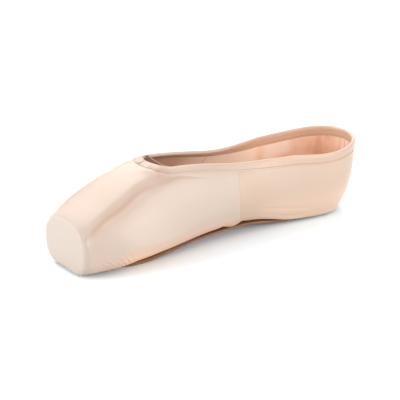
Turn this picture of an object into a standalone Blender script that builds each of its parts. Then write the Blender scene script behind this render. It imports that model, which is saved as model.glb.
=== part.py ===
"""A pointe shoe that stands empty on its sole.

Its pieces are the hollow satin upper with a stiff box at the toe, the binding of the
collar, the drawstring across the throat, the leather outsole and the insole board.
+X runs from the heel to the toe, +Y is the shoe's left side, and the floor is z = 0.
The shoe is straight: its left half is the mirror image of its right half.
"""

import math
from collections import namedtuple

import bpy
import numpy as np

MM = 0.001

# The last: lengths along the shoe, heights above the floor
LENGTH = 238 * MM
HEEL_WIDTH = 57 * MM
WAIST_WIDTH = 50 * MM
BALL_WIDTH = 71 * MM
PLATFORM_WIDTH = 48.5 * MM
HEEL_HEIGHT = 51 * MM
WAIST_HEIGHT = 54.5 * MM
INSTEP_HEIGHT = 64.5 * MM
PLATFORM_HEIGHT = 37 * MM
ARCH_RISE = 6 * MM
TOE_FLOOR_GAP = 1.4 * MM

# The collar's opening
COLLAR_HEEL_WIDTH = 56.5 * MM
COLLAR_WAIST_WIDTH = 33 * MM
COLLAR_THROAT_WIDTH = 30 * MM
THROAT_FROM_HEEL = 172 * MM
THROAT_ROUNDING = 14 * MM

# Walls and clearances
QUARTER_WALL = 1.5 * MM
BOX_WALL = 2.8 * MM
GAP = 0.3 * MM
PLATFORM_EDGE_RADIUS = 2.6 * MM
PLATFORM_DOME = 0.5 * MM
# The wall inside the platform's rounded edge, as a share of the edge's radius
EDGE_WALL_SHARE = 0.8

# The margin that is folded under and the hole that it leaves beneath the insole
FOLDED_MARGIN = 8 * MM
MARGIN_END_FROM_PLATFORM = 32 * MM
MARGIN_END_ROUNDING = 9 * MM

# Binding and drawstring
BINDING_DEPTH = 6 * MM
BINDING_WALL = 0.7 * MM
DRAWSTRING_DIAMETER = 1.4 * MM
DRAWSTRING_BEHIND_THROAT = 8 * MM

# Outsole
OUTSOLE_THICKNESS = 2.8 * MM
OUTSOLE_HEEL_WIDTH = 32 * MM
OUTSOLE_WAIST_WIDTH = 30 * MM
OUTSOLE_BALL_WIDTH = 41 * MM
OUTSOLE_HEEL_MARGIN = 14 * MM
OUTSOLE_HEEL_ROUNDING = 15 * MM
OUTSOLE_TOE_MARGIN = 25 * MM
OUTSOLE_TOE_ROUNDING = 18 * MM
OUTSOLE_BEVEL = 0.8 * MM

# Insole
INSOLE_THICKNESS = 1.8 * MM
INSOLE_OVERHANG = 1.2 * MM
INSOLE_TOE_MARGIN = 24 * MM
INSOLE_TOE_ROUNDING = 16 * MM

# Colours and roughness of the materials
SATIN = ((0.86, 0.66, 0.54), 0.38)
BINDING = ((0.84, 0.62, 0.49), 0.45)
ELASTIC = ((0.80, 0.50, 0.34), 0.6)
SOLE_LEATHER = ((0.42, 0.28, 0.20), 0.6)
BOARD = ((0.75, 0.54, 0.40), 0.8)

# How finely the form is sampled
HEEL_STATIONS = 8
QUARTER_STATIONS = 15
THROAT_STATIONS = 5
VAMP_STATIONS = 5
MARGIN_END_STATIONS = 4
BOX_STATIONS = 4
EDGE_STATIONS = 3
PLATFORM_RINGS = 2
UNDERSIDE_ROWS = 2
LOWER_ROWS = 6
UPPER_ROWS = 10
BOARD_STATIONS = 20
BOARD_END_STATIONS = 6
BOARD_END_ANGLE = 8
WALK_CORRECTIONS = 24
MOST_SHARE_STEP = 0.2
SHARP_ANGLE = 50

SOLE_SEAT = OUTSOLE_THICKNESS + GAP

# One row for each section of the last. at: place from the heel's back as a share of the
# length. half: half width at the widest place. belly: height of that place above the
# underside. foot: half width of the flat underside. top: height where the wall ends, or
# would end without the opening. close: half width there. turn: how far the wall has leaned
# over there, in degrees. upper, lower: powers of the rounded quarters above and below the
# widest place, 2 for an ellipse. lift: height of the underside above the floor.
Section = namedtuple("Section", "at half belly foot top close turn upper lower lift")

HEEL_BACK = Section(
    at=0.14, half=0.14 * LENGTH, belly=0.90 * HEEL_HEIGHT, foot=0.073 * LENGTH,
    top=HEEL_HEIGHT, close=0.14 * LENGTH, turn=30, upper=2.0, lower=1.8, lift=SOLE_SEAT,
)
SECTIONS = (
    Section(
        at=0.14, half=0.50 * HEEL_WIDTH, belly=0.73 * HEEL_HEIGHT, foot=0.32 * HEEL_WIDTH,
        top=0.96 * HEEL_HEIGHT, close=0.50 * COLLAR_HEEL_WIDTH, turn=30,
        upper=2.0, lower=2.1, lift=SOLE_SEAT,
    ),
    Section(
        at=0.266, half=0.49 * WAIST_WIDTH, belly=0.55 * WAIST_HEIGHT, foot=0.32 * WAIST_WIDTH,
        top=0.945 * WAIST_HEIGHT, close=0.41 * COLLAR_HEEL_WIDTH, turn=45,
        upper=2.0, lower=2.1, lift=SOLE_SEAT + 0.20 * ARCH_RISE,
    ),
    Section(
        at=0.425, half=0.50 * WAIST_WIDTH, belly=0.44 * WAIST_HEIGHT, foot=0.26 * WAIST_WIDTH,
        top=WAIST_HEIGHT, close=0.44 * COLLAR_WAIST_WIDTH, turn=65,
        upper=2.0, lower=2.0, lift=SOLE_SEAT + ARCH_RISE,
    ),
    Section(
        at=0.559, half=0.40 * BALL_WIDTH, belly=0.34 * INSTEP_HEIGHT, foot=0.18 * BALL_WIDTH,
        top=0.94 * INSTEP_HEIGHT, close=0.27 * COLLAR_WAIST_WIDTH, turn=80,
        upper=2.2, lower=1.9, lift=SOLE_SEAT + 0.85 * ARCH_RISE,
    ),
    Section(
        at=0.722, half=0.475 * BALL_WIDTH, belly=0.25 * INSTEP_HEIGHT, foot=0.20 * BALL_WIDTH,
        top=INSTEP_HEIGHT, close=0, turn=90,
        upper=2.5, lower=1.75, lift=SOLE_SEAT + 0.25 * ARCH_RISE,
    ),
    Section(
        at=0.791, half=0.50 * BALL_WIDTH, belly=0.27 * INSTEP_HEIGHT, foot=0.20 * BALL_WIDTH,
        top=0.945 * INSTEP_HEIGHT, close=0, turn=90,
        upper=2.4, lower=1.8, lift=SOLE_SEAT,
    ),
    Section(
        at=0.896, half=0.49 * BALL_WIDTH, belly=0.29 * INSTEP_HEIGHT, foot=0.27 * BALL_WIDTH,
        top=0.765 * INSTEP_HEIGHT, close=0, turn=90,
        upper=2.3, lower=1.95, lift=SOLE_SEAT,
    ),
    Section(
        at=1.0, half=0.50 * PLATFORM_WIDTH, belly=0.41 * PLATFORM_HEIGHT,
        foot=0.24 * PLATFORM_WIDTH, top=PLATFORM_HEIGHT, close=0, turn=90,
        upper=2.6, lower=2.4, lift=TOE_FLOOR_GAP,
    ),
)

# Half width of the collar's opening, from the heel's sides to the throat
Width = namedtuple("Width", "at half")
COLLAR = (
    Width(at=0.14, half=0.50 * COLLAR_HEEL_WIDTH),
    Width(at=0.266, half=0.41 * COLLAR_HEEL_WIDTH),
    Width(at=0.425, half=0.50 * COLLAR_WAIST_WIDTH),
    Width(at=0.559, half=0.50 * COLLAR_THROAT_WIDTH),
    Width(at=0.722, half=0.50 * COLLAR_THROAT_WIDTH),
)

# Half width of the outsole, whose ends are then rounded
OUTSOLE = (
    Width(at=0.06, half=0.45 * OUTSOLE_HEEL_WIDTH),
    Width(at=0.14, half=0.50 * OUTSOLE_HEEL_WIDTH),
    Width(at=0.40, half=0.50 * OUTSOLE_WAIST_WIDTH),
    Width(at=0.53, half=0.52 * OUTSOLE_WAIST_WIDTH),
    Width(at=0.78, half=0.50 * OUTSOLE_BALL_WIDTH),
    Width(at=0.89, half=0.47 * OUTSOLE_BALL_WIDTH),
)

# Thickness of the wall, which the box stiffens
Wall = namedtuple("Wall", "at thickness")
WALLS = (
    Wall(at=0.0, thickness=QUARTER_WALL),
    Wall(at=0.71, thickness=QUARTER_WALL),
    Wall(at=0.87, thickness=BOX_WALL),
    Wall(at=1.0, thickness=BOX_WALL),
)

# The columns that shape the satin's shine: the others stay level where they start level
FAIR_COLUMNS = ("half", "belly", "foot", "top", "upper", "lower")

HEEL_CENTRE = HEEL_BACK.at * LENGTH
# The origin stands under the middle of the shoe's whole length, with its binding
ORIGIN_FROM_HEEL = (LENGTH - GAP - BINDING_WALL) / 2
BALL_FLAT_END = SECTIONS[-2].at * LENGTH
EDGE_START = LENGTH - PLATFORM_EDGE_RADIUS
MARGIN_END = LENGTH - MARGIN_END_FROM_PLATFORM
SMALL = 0.01 * MM
SHARE_NUDGE = 1e-4


def smooth_through(rows, column, where):
    """A cubic curve through one column of a table, at its places along the shoe.

    It starts level, ends straight, and never swings past the values.
    """
    at = np.array([row.at for row in rows]) * LENGTH
    values = np.array([getattr(row, column) for row in rows], float)
    step = np.diff(at)
    slope = np.diff(values) / step
    tangent = np.zeros_like(values)
    first = 2 * step[1:] + step[:-1]
    second = step[1:] + 2 * step[:-1]
    turns_back = slope[:-1] * slope[1:] <= 0
    weighted = np.where(turns_back, 1, first * slope[1:] + second * slope[:-1])
    mean = (first + second) * slope[:-1] * slope[1:] / weighted
    tangent[1:-1] = np.where(turns_back, 0, mean)
    tangent[-1] = slope[-1]
    k = np.clip(np.searchsorted(at, where, side="right") - 1, 0, len(step) - 1)
    t = np.clip((where - at[k]) / step[k], 0, 1)
    return (
        (1 + 2 * t) * (1 - t) ** 2 * values[k]
        + t * (1 - t) ** 2 * step[k] * tangent[k]
        + t * t * (3 - 2 * t) * values[k + 1]
        + t * t * (t - 1) * step[k] * tangent[k + 1]
    )


def fair_through(rows, column, where):
    """A cubic spline through one column of a table, whose curvature has no jumps.

    It starts level and ends unbent.
    """
    at = np.array([row.at for row in rows]) * LENGTH
    values = np.array([getattr(row, column) for row in rows], float)
    step = np.diff(at)
    slope = np.diff(values) / step
    balance = np.eye(len(at))
    pull = np.zeros(len(at))
    balance[0, :2] = (2 * step[0], step[0])
    pull[0] = 6 * slope[0]
    for i in range(1, len(at) - 1):
        balance[i, i - 1:i + 2] = (step[i - 1], 2 * (step[i - 1] + step[i]), step[i])
        pull[i] = 6 * (slope[i] - slope[i - 1])
    bend = np.linalg.solve(balance, pull)
    k = np.clip(np.searchsorted(at, where, side="right") - 1, 0, len(step) - 1)
    t = np.clip(where - at[k], 0, step[k])
    return (
        values[k]
        + t * (slope[k] - step[k] * (2 * bend[k] + bend[k + 1]) / 6)
        + t**2 * bend[k] / 2
        + t**3 * (bend[k + 1] - bend[k]) / (6 * step[k])
    )


def column_at(name, distance):
    """One column of the sections at any distance from the heel's back."""
    curve = fair_through if name in FAIR_COLUMNS else smooth_through
    return curve(SECTIONS, name, distance)


def half_round(distance, end, reach):
    """1 at the reach behind the end, falling to 0 at the end as a quarter circle does."""
    left = np.clip((end - distance) / reach, 0, 1)
    return np.sqrt(1 - (1 - left) ** 2)


def station(along):
    """Distance from the heel's back, and angle about the heel's centre, of each station.

    along is 0 at the heel's centre. Ahead of it the sections stand across the shoe. Behind
    it they turn about it, and along is then minus the length of arc at the heel's back.
    """
    distance = HEEL_CENTRE + np.maximum(along, 0)
    angle = np.maximum(-along, 0) / HEEL_CENTRE
    return distance, angle


def section_at(along):
    """Every column of the section at each station, as a Section of arrays."""
    distance, angle = station(along)
    backness = np.sin(angle) ** 2
    columns = [distance]
    for name in Section._fields[1:]:
        side = column_at(name, distance)
        columns.append(backness * getattr(HEEL_BACK, name) + (1 - backness) * side)
    return Section(*columns)


def upper_quarter(row, share):
    """Half width and height, from the widest place at share 0 to the wall's end at 1."""
    end = np.radians(row.turn)
    lean = np.clip(share, 0, 1) * end
    narrowing = np.clip(np.cos(lean), 0, 1) ** (2 / row.upper)
    narrowest = np.clip(np.cos(end), 0, 1) ** (2 / row.upper)
    leaning = (narrowing - narrowest) / (1 - narrowest)
    rising = (np.sin(lean) / np.sin(end)) ** (2 / row.upper)
    belly_height = row.lift + row.belly
    return (
        row.close + (row.half - row.close) * leaning,
        belly_height + (row.top - belly_height) * rising,
    )


def collar_share(along):
    """Share of the upper quarter at which the collar cuts it, 1 ahead of the throat."""
    row = section_at(along)
    rounding = half_round(row.at, THROAT_FROM_HEEL, THROAT_ROUNDING)
    wanted = smooth_through(COLLAR, "half", row.at) * rounding
    end = np.radians(row.turn)
    narrowest = np.clip(np.cos(end), 0, 1) ** (2 / row.upper)
    cut = wanted > row.close + SMALL
    part = (wanted - row.close) / np.where(cut, row.half - row.close, 1)
    narrowing = narrowest + (1 - narrowest) * part
    lean = np.arccos(np.clip(narrowing, 0, 1) ** (row.upper / 2))
    return np.where(cut & (along > 0), lean / end, 1)


def margin_edge(row):
    """Half width of the hole under the insole, which closes short of the platform."""
    rounding = half_round(row.at, MARGIN_END, MARGIN_END_ROUNDING)
    return np.maximum(row.foot - FOLDED_MARGIN, 0) * rounding


def form(along, share):
    """Points of the shoe's left half.

    share runs from -1 at the underside's inner edge to 0 at the flat underside's outer
    edge, on to 1 at the widest place, and to 2 at the wall's end.
    """
    along, share = np.broadcast_arrays(along, share)
    row = section_at(along)
    angle = station(along)[1]

    inner = margin_edge(row)
    under = inner + (row.foot - inner) * (1 + share)
    low = np.clip(share, 0, 1) * math.pi / 2
    lower = row.foot + (row.half - row.foot) * np.sin(low) ** (2 / row.lower)
    low_height = row.lift + row.belly * (1 - np.cos(low) ** (2 / row.lower))
    upper, high_height = upper_quarter(row, share - 1)

    radius = np.where(share < 0, under, np.where(share < 1, lower, upper))
    height = np.where(share < 1, low_height, high_height)
    x = row.at - radius * np.sin(angle) - ORIGIN_FROM_HEEL
    y = radius * np.cos(angle)
    return np.stack([x, y, height], -1)


def unit(vectors):
    return vectors / np.linalg.norm(vectors, axis=-1, keepdims=True)


def slopes(along, share):
    """How the form's points move with along and with share."""
    by_along = (form(along + SMALL, share) - form(along - SMALL, share)) / (2 * SMALL)
    by_share = (form(along, share) - form(along, share - SHARE_NUDGE)) / SHARE_NUDGE
    return by_along, by_share


def outward(along, share):
    """Unit vectors pointing out of the form."""
    by_along, by_share = slopes(along, share)
    return unit(np.cross(by_share, by_along))


def spaced(start, end, count):
    """Evenly spaced values that leave out the last one."""
    return np.linspace(start, end, count + 1)[:-1]


def rounded_off(end, reach, count):
    """Stations along a half round, close together at its end, which is left out."""
    turn = spaced(math.pi / 2, 0, count)
    return end - reach * (1 - np.cos(turn))


def collar_stations():
    """Stations from the heel's back to the throat."""
    return np.concatenate([
        spaced(-HEEL_CENTRE * math.pi / 2, 0, HEEL_STATIONS),
        spaced(HEEL_CENTRE, THROAT_FROM_HEEL - THROAT_ROUNDING, QUARTER_STATIONS) - HEEL_CENTRE,
        rounded_off(THROAT_FROM_HEEL, THROAT_ROUNDING, THROAT_STATIONS) - HEEL_CENTRE,
        [THROAT_FROM_HEEL - HEEL_CENTRE],
    ])


def upper_stations():
    """Stations from the heel's back to where the platform's edge starts to round."""
    ahead = np.concatenate([
        spaced(THROAT_FROM_HEEL, MARGIN_END - MARGIN_END_ROUNDING, VAMP_STATIONS)[1:],
        rounded_off(MARGIN_END, MARGIN_END_ROUNDING, MARGIN_END_STATIONS),
        spaced(MARGIN_END, EDGE_START, BOX_STATIONS),
        [EDGE_START],
    ])
    return np.concatenate([collar_stations(), ahead - HEEL_CENTRE])


def platform_rings(rim):
    """Rings that round the box over from its last section to the flat platform.

    Each ring is the section drawn in about its own middle, by the same width all round.
    """
    middle = 0.5 * (rim[:, 2].min() + rim[:, 2].max())
    half_height = 0.5 * np.ptp(rim[:, 2])
    half_width = rim[:, 1].max()
    turn = np.linspace(0, math.pi / 2, EDGE_STATIONS + 1)[1:]
    inset = PLATFORM_EDGE_RADIUS * (1 - np.cos(turn))
    ahead = EDGE_START + PLATFORM_EDGE_RADIUS * np.sin(turn) - PLATFORM_DOME
    rings = []
    for shrink, distance in zip(inset, ahead):
        rings.append((1 - shrink / half_width, 1 - shrink / half_height, distance))
    wide, high, _ = rings[-1]
    for scale in spaced(1, 0, PLATFORM_RINGS + 1)[1:]:
        dome = PLATFORM_DOME * (1 - scale**2)
        rings.append((wide * scale, high * scale, LENGTH - PLATFORM_DOME + dome))
    points = []
    for across, upright, distance in rings:
        ring = rim.copy()
        ring[:, 0] = distance - ORIGIN_FROM_HEEL
        ring[:, 1] *= across
        ring[:, 2] = middle + (ring[:, 2] - middle) * upright
        points.append(ring)
    tip = np.array([LENGTH - ORIGIN_FROM_HEEL, 0, middle])
    return np.array(points), tip


def wall_at(distance):
    return smooth_through(WALLS, "thickness", distance)


def on_midplane(points):
    """The same points with the first and the last set exactly into the shoe's middle."""
    points = points.copy()
    points[[0, -1], 1] = 0
    return points


def collar_frame(along):
    """The collar's edge: its share of the form, its outward normals, and the directions
    that lead from the opening into the wall.
    """
    share = 1 + collar_share(along)
    edge = form(along, share)
    other_side = edge * (1, -1, 1)
    loop = np.concatenate([other_side[1:2], edge, other_side[-2:-1]])
    tangent = unit(loop[2:] - loop[:-2])
    normal = unit(on_midplane(outward(along, share)))
    away = unit(on_midplane(np.cross(normal, tangent)))
    return share, normal, away


def walked(along, share, away, reach):
    """Where on the form a walk of this reach away from each collar point ends."""
    target = form(along, share) + reach * away
    for _ in range(WALK_CORRECTIONS):
        by_along, by_share = slopes(along, share)
        miss = target - form(along, share)
        aa = (by_along * by_along).sum(-1)
        ab = (by_along * by_share).sum(-1)
        bb = (by_share * by_share).sum(-1)
        a_miss = (by_along * miss).sum(-1)
        b_miss = (by_share * miss).sum(-1)
        area = aa * bb - ab * ab
        along = along + (bb * a_miss - ab * b_miss) / area
        up = (aa * b_miss - ab * a_miss) / area
        share = np.minimum(share + np.clip(up, -MOST_SHARE_STEP, MOST_SHARE_STEP), 2)
    return along, share


def around_rim(along, reach, outside, over):
    """One line of points that runs along the collar, beside its rim.

    Up to the edge it lies at the reach from it, by outside over the outer face, or by
    minus outside under the inner face. over is None there. Round the edge itself it lies
    outside from the rim, at the angle over, 0 on the outer face and 180 on the inner.
    """
    share, normal, away = collar_frame(along)
    at_along, at_share = walked(along, share, away, reach)
    wall = wall_at(station(at_along)[0])[:, None]
    normal = unit(on_midplane(outward(at_along, at_share)))
    points = form(at_along, at_share)
    if over is None:
        depth = outside if outside > 0 else outside - wall
        points = points + depth * normal
    else:
        middle = points - 0.5 * wall * normal
        radius = 0.5 * wall + outside
        points = middle + radius * (math.cos(over) * normal - math.sin(over) * away)
    return on_midplane(points)


def new_material(name, looks):
    colour, roughness = looks
    material = bpy.data.materials.new(name)
    material.use_nodes = True
    shader = material.node_tree.nodes["Principled BSDF"]
    shader.inputs["Base Color"].default_value = (*colour, 1)
    shader.inputs["Roughness"].default_value = roughness
    shader.inputs["Metallic"].default_value = 0
    return material


def grid_faces(lines, length, closed=False):
    """Faces between neighbouring lines of points, each line holding length points."""
    faces = []
    for i in range(lines - 1):
        for j in range(length if closed else length - 1):
            k = (j + 1) % length
            here = i * length
            ahead = here + length
            faces.append((here + j, here + k, ahead + k, ahead + j))
    return faces


def add_mirrored(name, points, faces, looks):
    """An object from the points of the left half, joined to its mirror image."""
    mesh = bpy.data.meshes.new(name)
    mesh.from_pydata(points.tolist(), [], faces)
    mesh.materials.append(new_material(name, looks))
    mesh.shade_smooth()
    mesh.set_sharp_from_angle(angle=math.radians(SHARP_ANGLE))
    obj = bpy.data.objects.new(name, mesh)
    bpy.context.collection.objects.link(obj)
    mirror = obj.modifiers.new("Other half", "MIRROR")
    mirror.use_axis = (False, True, False)
    mirror.use_mirror_merge = True
    mirror.merge_threshold = SMALL
    return obj


def build_upper():
    """The satin, canvas and stiffened box as one wall, open at the collar and beneath."""
    along = upper_stations()
    top = 1 + collar_share(along)
    under = np.linspace(-1, 0, UNDERSIDE_ROWS + 1)[:-1]
    low = np.linspace(0, 1, LOWER_ROWS + 1)[:-1]
    rows = [np.full_like(along, share) for share in np.concatenate([under, low])]
    for part in np.linspace(0, 1, UPPER_ROWS + 1):
        rows.append(1 + part * (top - 1))
    lines = form(along[:, None], np.stack(rows, 1))
    lines[0, :, 1] = 0
    rings, tip = platform_rings(lines[-1])

    wall = np.repeat(wall_at(station(along)[0]), lines.shape[1])
    edge_wall = np.full(rings[:, :, 0].size, min(BOX_WALL, EDGE_WALL_SHARE * PLATFORM_EDGE_RADIUS))
    edge_wall[EDGE_STATIONS * lines.shape[1]:] = BOX_WALL
    wall = np.concatenate([wall, edge_wall, [BOX_WALL]])

    points = np.concatenate([lines.reshape(-1, 3), rings.reshape(-1, 3), [tip]])
    length = lines.shape[1]
    count = len(lines) + len(rings)
    faces = grid_faces(count, length)
    last = (count - 1) * length
    faces += [(last + j, last + j + 1, len(points) - 1) for j in range(length - 1)]

    upper = add_mirrored("upper", points, faces, SATIN)
    group = upper.vertex_groups.new(name="wall")
    for index, thickness in enumerate(wall):
        group.add([index], thickness / BOX_WALL, "REPLACE")
    shell = upper.modifiers.new("Wall", "SOLIDIFY")
    shell.thickness = BOX_WALL
    shell.offset = -1
    shell.use_quality_normals = True
    shell.vertex_group = group.name


def build_binding():
    """A folded strip that wraps the collar's edge, outside, over and inside."""
    along = collar_stations()
    near = GAP
    far = GAP + BINDING_WALL
    over = [math.radians(angle) for angle in (0, 45, 90, 135, 180)]
    lines = [around_rim(along, BINDING_DEPTH, far, None)]
    lines += [around_rim(along, 0, far, angle) for angle in over]
    lines += [around_rim(along, BINDING_DEPTH, -far, None)]
    lines += [around_rim(along, BINDING_DEPTH, -near, None)]
    lines += [around_rim(along, 0, near, angle) for angle in reversed(over)]
    lines += [around_rim(along, BINDING_DEPTH, near, None)]
    points = np.stack(lines, 1)
    faces = grid_faces(len(along), len(lines), closed=True)
    add_mirrored("topline_binding", points.reshape(-1, 3), faces, BINDING)


def build_drawstring():
    """The elastic cord where it crosses the opening just behind the throat."""
    behind = THROAT_FROM_HEEL - HEEL_CENTRE - DRAWSTRING_BEHIND_THROAT
    along = behind + np.array([-SMALL, 0, SMALL])
    rim_clearance = GAP + BINDING_WALL + GAP + DRAWSTRING_DIAMETER / 2
    end = around_rim(along, 0, rim_clearance, math.pi / 2)[1]
    curve = bpy.data.curves.new("drawstring", "CURVE")
    curve.dimensions = "3D"
    curve.bevel_depth = DRAWSTRING_DIAMETER / 2
    curve.bevel_resolution = 2
    curve.use_fill_caps = True
    spline = curve.splines.new("POLY")
    spline.points.add(1)
    spline.points[0].co = (*end, 1)
    spline.points[1].co = (end[0], -end[1], end[2], 1)
    curve.materials.append(new_material("drawstring", ELASTIC))
    cord = bpy.data.objects.new("drawstring", curve)
    bpy.context.collection.objects.link(cord)


def board_stations(start, end, heel_rounding, toe_rounding):
    """Stations along a flat piece with round ends, and the share of its width at each."""
    turn = np.radians(np.linspace(BOARD_END_ANGLE, 90, BOARD_END_STATIONS))
    heel_end = start + heel_rounding * (1 - np.cos(turn))
    toe_end = end - toe_rounding * (1 - np.cos(turn))
    between = np.linspace(heel_end[-1], toe_end[-1], BOARD_STATIONS)[1:-1]
    distance = np.concatenate([heel_end, between, toe_end[::-1]])
    rounding = np.concatenate([np.sin(turn), np.ones_like(between), np.sin(turn)[::-1]])
    return distance, rounding


def add_board(name, distance, outline, looks):
    """A flat piece from its half section: half widths and heights at each station, from
    the middle of its underside round the edge to the middle of its upper face.
    """
    x = distance - ORIGIN_FROM_HEEL
    lines = [np.stack(np.broadcast_arrays(x, half, height), -1) for half, height in outline]
    points = np.stack(lines, 1)
    length = len(outline)
    last = (len(distance) - 1) * length
    faces = grid_faces(len(distance), length)
    faces.append(tuple(reversed(range(length))))
    faces.append(tuple(range(last, last + length)))
    add_mirrored(name, points.reshape(-1, 3), faces, looks)


def build_outsole():
    """The leather sole: flat on the floor at heel and ball, raised at the arch."""
    distance, rounding = board_stations(
        OUTSOLE_HEEL_MARGIN, LENGTH - OUTSOLE_TOE_MARGIN, OUTSOLE_HEEL_ROUNDING, OUTSOLE_TOE_ROUNDING
    )
    half = smooth_through(OUTSOLE, "half", distance) * rounding
    lift = column_at("lift", np.minimum(distance, BALL_FLAT_END))
    top = lift - GAP
    bottom = top - OUTSOLE_THICKNESS
    outline = (
        (0, bottom),
        (half - OUTSOLE_BEVEL, bottom),
        (half, bottom + OUTSOLE_BEVEL),
        (half, top),
        (0, top),
    )
    add_board("outsole", distance, outline, SOLE_LEATHER)


def build_insole():
    """The board that lies inside on the folded margin and closes the hole in it."""
    start = HEEL_CENTRE - HEEL_BACK.foot
    distance, rounding = board_stations(
        start, LENGTH - INSOLE_TOE_MARGIN, HEEL_BACK.foot, INSOLE_TOE_ROUNDING
    )
    half = column_at("foot", distance) * rounding
    lift = column_at("lift", distance)
    bottom = lift + wall_at(distance) + GAP
    top = bottom + INSOLE_THICKNESS
    outline = ((0, bottom), (half, bottom), (half + INSOLE_OVERHANG * rounding, top), (0, top))
    add_board("insole", distance, outline, BOARD)


def main():
    for obj in list(bpy.data.objects):
        bpy.data.objects.remove(obj)
    build_upper()
    build_binding()
    build_drawstring()
    build_outsole()
    build_insole()


if __name__ == "__main__":
    main()
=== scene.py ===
"""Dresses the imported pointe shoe: satin cover, canvas lining, binding with its stitches,
elastic drawstring, leather outsole and insole board, on a pale floor in soft light.

+X runs from the heel to the toe, +Y is the shoe's left side, and the floor is z = 0.
"""

import math
from collections import namedtuple
from types import SimpleNamespace

import bmesh
import bpy
import numpy as np
from bpy.props import FloatProperty, FloatVectorProperty, PointerProperty
from mathutils import Matrix, Vector


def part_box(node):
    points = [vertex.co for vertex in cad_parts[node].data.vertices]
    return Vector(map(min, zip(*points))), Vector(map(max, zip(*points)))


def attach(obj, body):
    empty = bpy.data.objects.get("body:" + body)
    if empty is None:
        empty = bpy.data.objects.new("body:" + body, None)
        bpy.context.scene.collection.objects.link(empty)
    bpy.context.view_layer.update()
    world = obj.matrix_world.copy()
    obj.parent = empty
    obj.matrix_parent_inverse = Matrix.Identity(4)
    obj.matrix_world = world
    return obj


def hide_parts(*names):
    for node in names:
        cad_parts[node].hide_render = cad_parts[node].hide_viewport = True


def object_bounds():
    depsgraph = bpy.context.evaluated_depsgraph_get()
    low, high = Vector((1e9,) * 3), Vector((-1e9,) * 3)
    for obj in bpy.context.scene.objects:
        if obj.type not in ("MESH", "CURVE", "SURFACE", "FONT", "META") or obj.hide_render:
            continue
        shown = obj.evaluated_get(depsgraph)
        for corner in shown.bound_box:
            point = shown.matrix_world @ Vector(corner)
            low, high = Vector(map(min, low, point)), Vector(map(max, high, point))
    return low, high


bl_info = {
    "name": "Pointe Shoe Looks",
    "version": (1, 0, 0),
    "blender": (4, 5, 0),
    "location": "View3D > Sidebar > Pointe Shoe",
    "description": "Dresses the packed pointe shoe in satin, canvas, leather and thread",
    "category": "Object",
}

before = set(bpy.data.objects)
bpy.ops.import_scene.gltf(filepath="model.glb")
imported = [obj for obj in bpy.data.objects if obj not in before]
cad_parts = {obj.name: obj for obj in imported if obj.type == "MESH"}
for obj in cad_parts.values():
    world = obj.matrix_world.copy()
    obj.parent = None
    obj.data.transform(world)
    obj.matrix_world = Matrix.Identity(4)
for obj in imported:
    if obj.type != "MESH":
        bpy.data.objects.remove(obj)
CAD_LOW, CAD_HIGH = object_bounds()

MM = 0.001


def table(columns, *rows):
    """The columns of a table by name; a name that ends in _mm holds millimetres."""
    numbers = zip(columns.split(), np.array(rows, float).T)
    return {
        name.removesuffix("_mm"): column * (MM if name.endswith("_mm") else 1)
        for name, column in numbers
    }


# Sizes of the last and of the solids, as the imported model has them
LENGTH = 238 * MM
THROAT_FROM_HEEL = 172 * MM
THROAT_ROUNDING = 14 * MM
BOX_WALL = 2.8 * MM
GAP = 0.3 * MM
PLATFORM_EDGE_RADIUS = 2.6 * MM
PLATFORM_DOME = 0.5 * MM
FOLDED_MARGIN = 8 * MM
MARGIN_END = LENGTH - 32 * MM
MARGIN_END_ROUNDING = 9 * MM
OUTSOLE_THICKNESS = 2.8 * MM
OUTSOLE_HEEL_MARGIN = 14 * MM
OUTSOLE_HEEL_ROUNDING = 15 * MM
OUTSOLE_TOE_MARGIN = 25 * MM
OUTSOLE_TOE_ROUNDING = 18 * MM
INSOLE_THICKNESS = 1.8 * MM
INSOLE_TOE_MARGIN = 24 * MM
INSOLE_TOE_ROUNDING = 16 * MM
DRAWSTRING_DIAMETER = 1.4 * MM

# Cross-sections of the last: place along it, half width, height of the widest place,
# half width of the flat underside, height, half width where the wall closes, how far the
# wall leans over in degrees, the powers of its two curves, and the underside's height
SECTION = "at half_mm belly_mm foot_mm top_mm close_mm turn upper lower lift_mm"
HEEL_BACK = table(SECTION, (0.14, 33.32, 45.9, 17.374, 51, 33.32, 30, 2.0, 1.8, 3.1))
HEEL_BACK = {name: column.item() for name, column in HEEL_BACK.items()}
SECTIONS = table(
    SECTION,
    (0.14, 28.5, 37.23, 18.24, 48.96, 28.25, 30, 2.0, 2.1, 3.1),
    (0.266, 24.5, 29.975, 16, 51.5025, 23.165, 45, 2.0, 2.1, 4.3),
    (0.425, 25, 23.98, 13, 54.5, 14.52, 65, 2.0, 2.0, 9.1),
    (0.559, 28.4, 21.93, 12.78, 60.63, 8.91, 80, 2.2, 1.9, 8.2),
    (0.722, 33.725, 16.125, 14.2, 64.5, 0, 90, 2.5, 1.75, 4.6),
    (0.791, 35.5, 17.415, 14.2, 60.9525, 0, 90, 2.4, 1.8, 3.1),
    (0.896, 34.79, 18.705, 19.17, 49.3425, 0, 90, 2.3, 1.95, 3.1),
    (1.0, 24.25, 15.17, 11.64, 37, 0, 90, 2.6, 2.4, 1.4),
)
FAIR_COLUMNS = ("half", "belly", "foot", "top", "upper", "lower")
COLLAR = table(
    "at half_mm", (0.14, 28.25), (0.266, 23.165), (0.425, 16.5), (0.559, 15), (0.722, 15)
)
OUTSOLE = table(
    "at half_mm", (0.06, 14.4), (0.14, 16), (0.40, 15), (0.53, 15.6), (0.78, 20.5), (0.89, 19.27)
)
WALLS = table("at thickness_mm", (0.0, 1.5), (0.71, 1.5), (0.87, 2.8), (1.0, 2.8))

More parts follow.
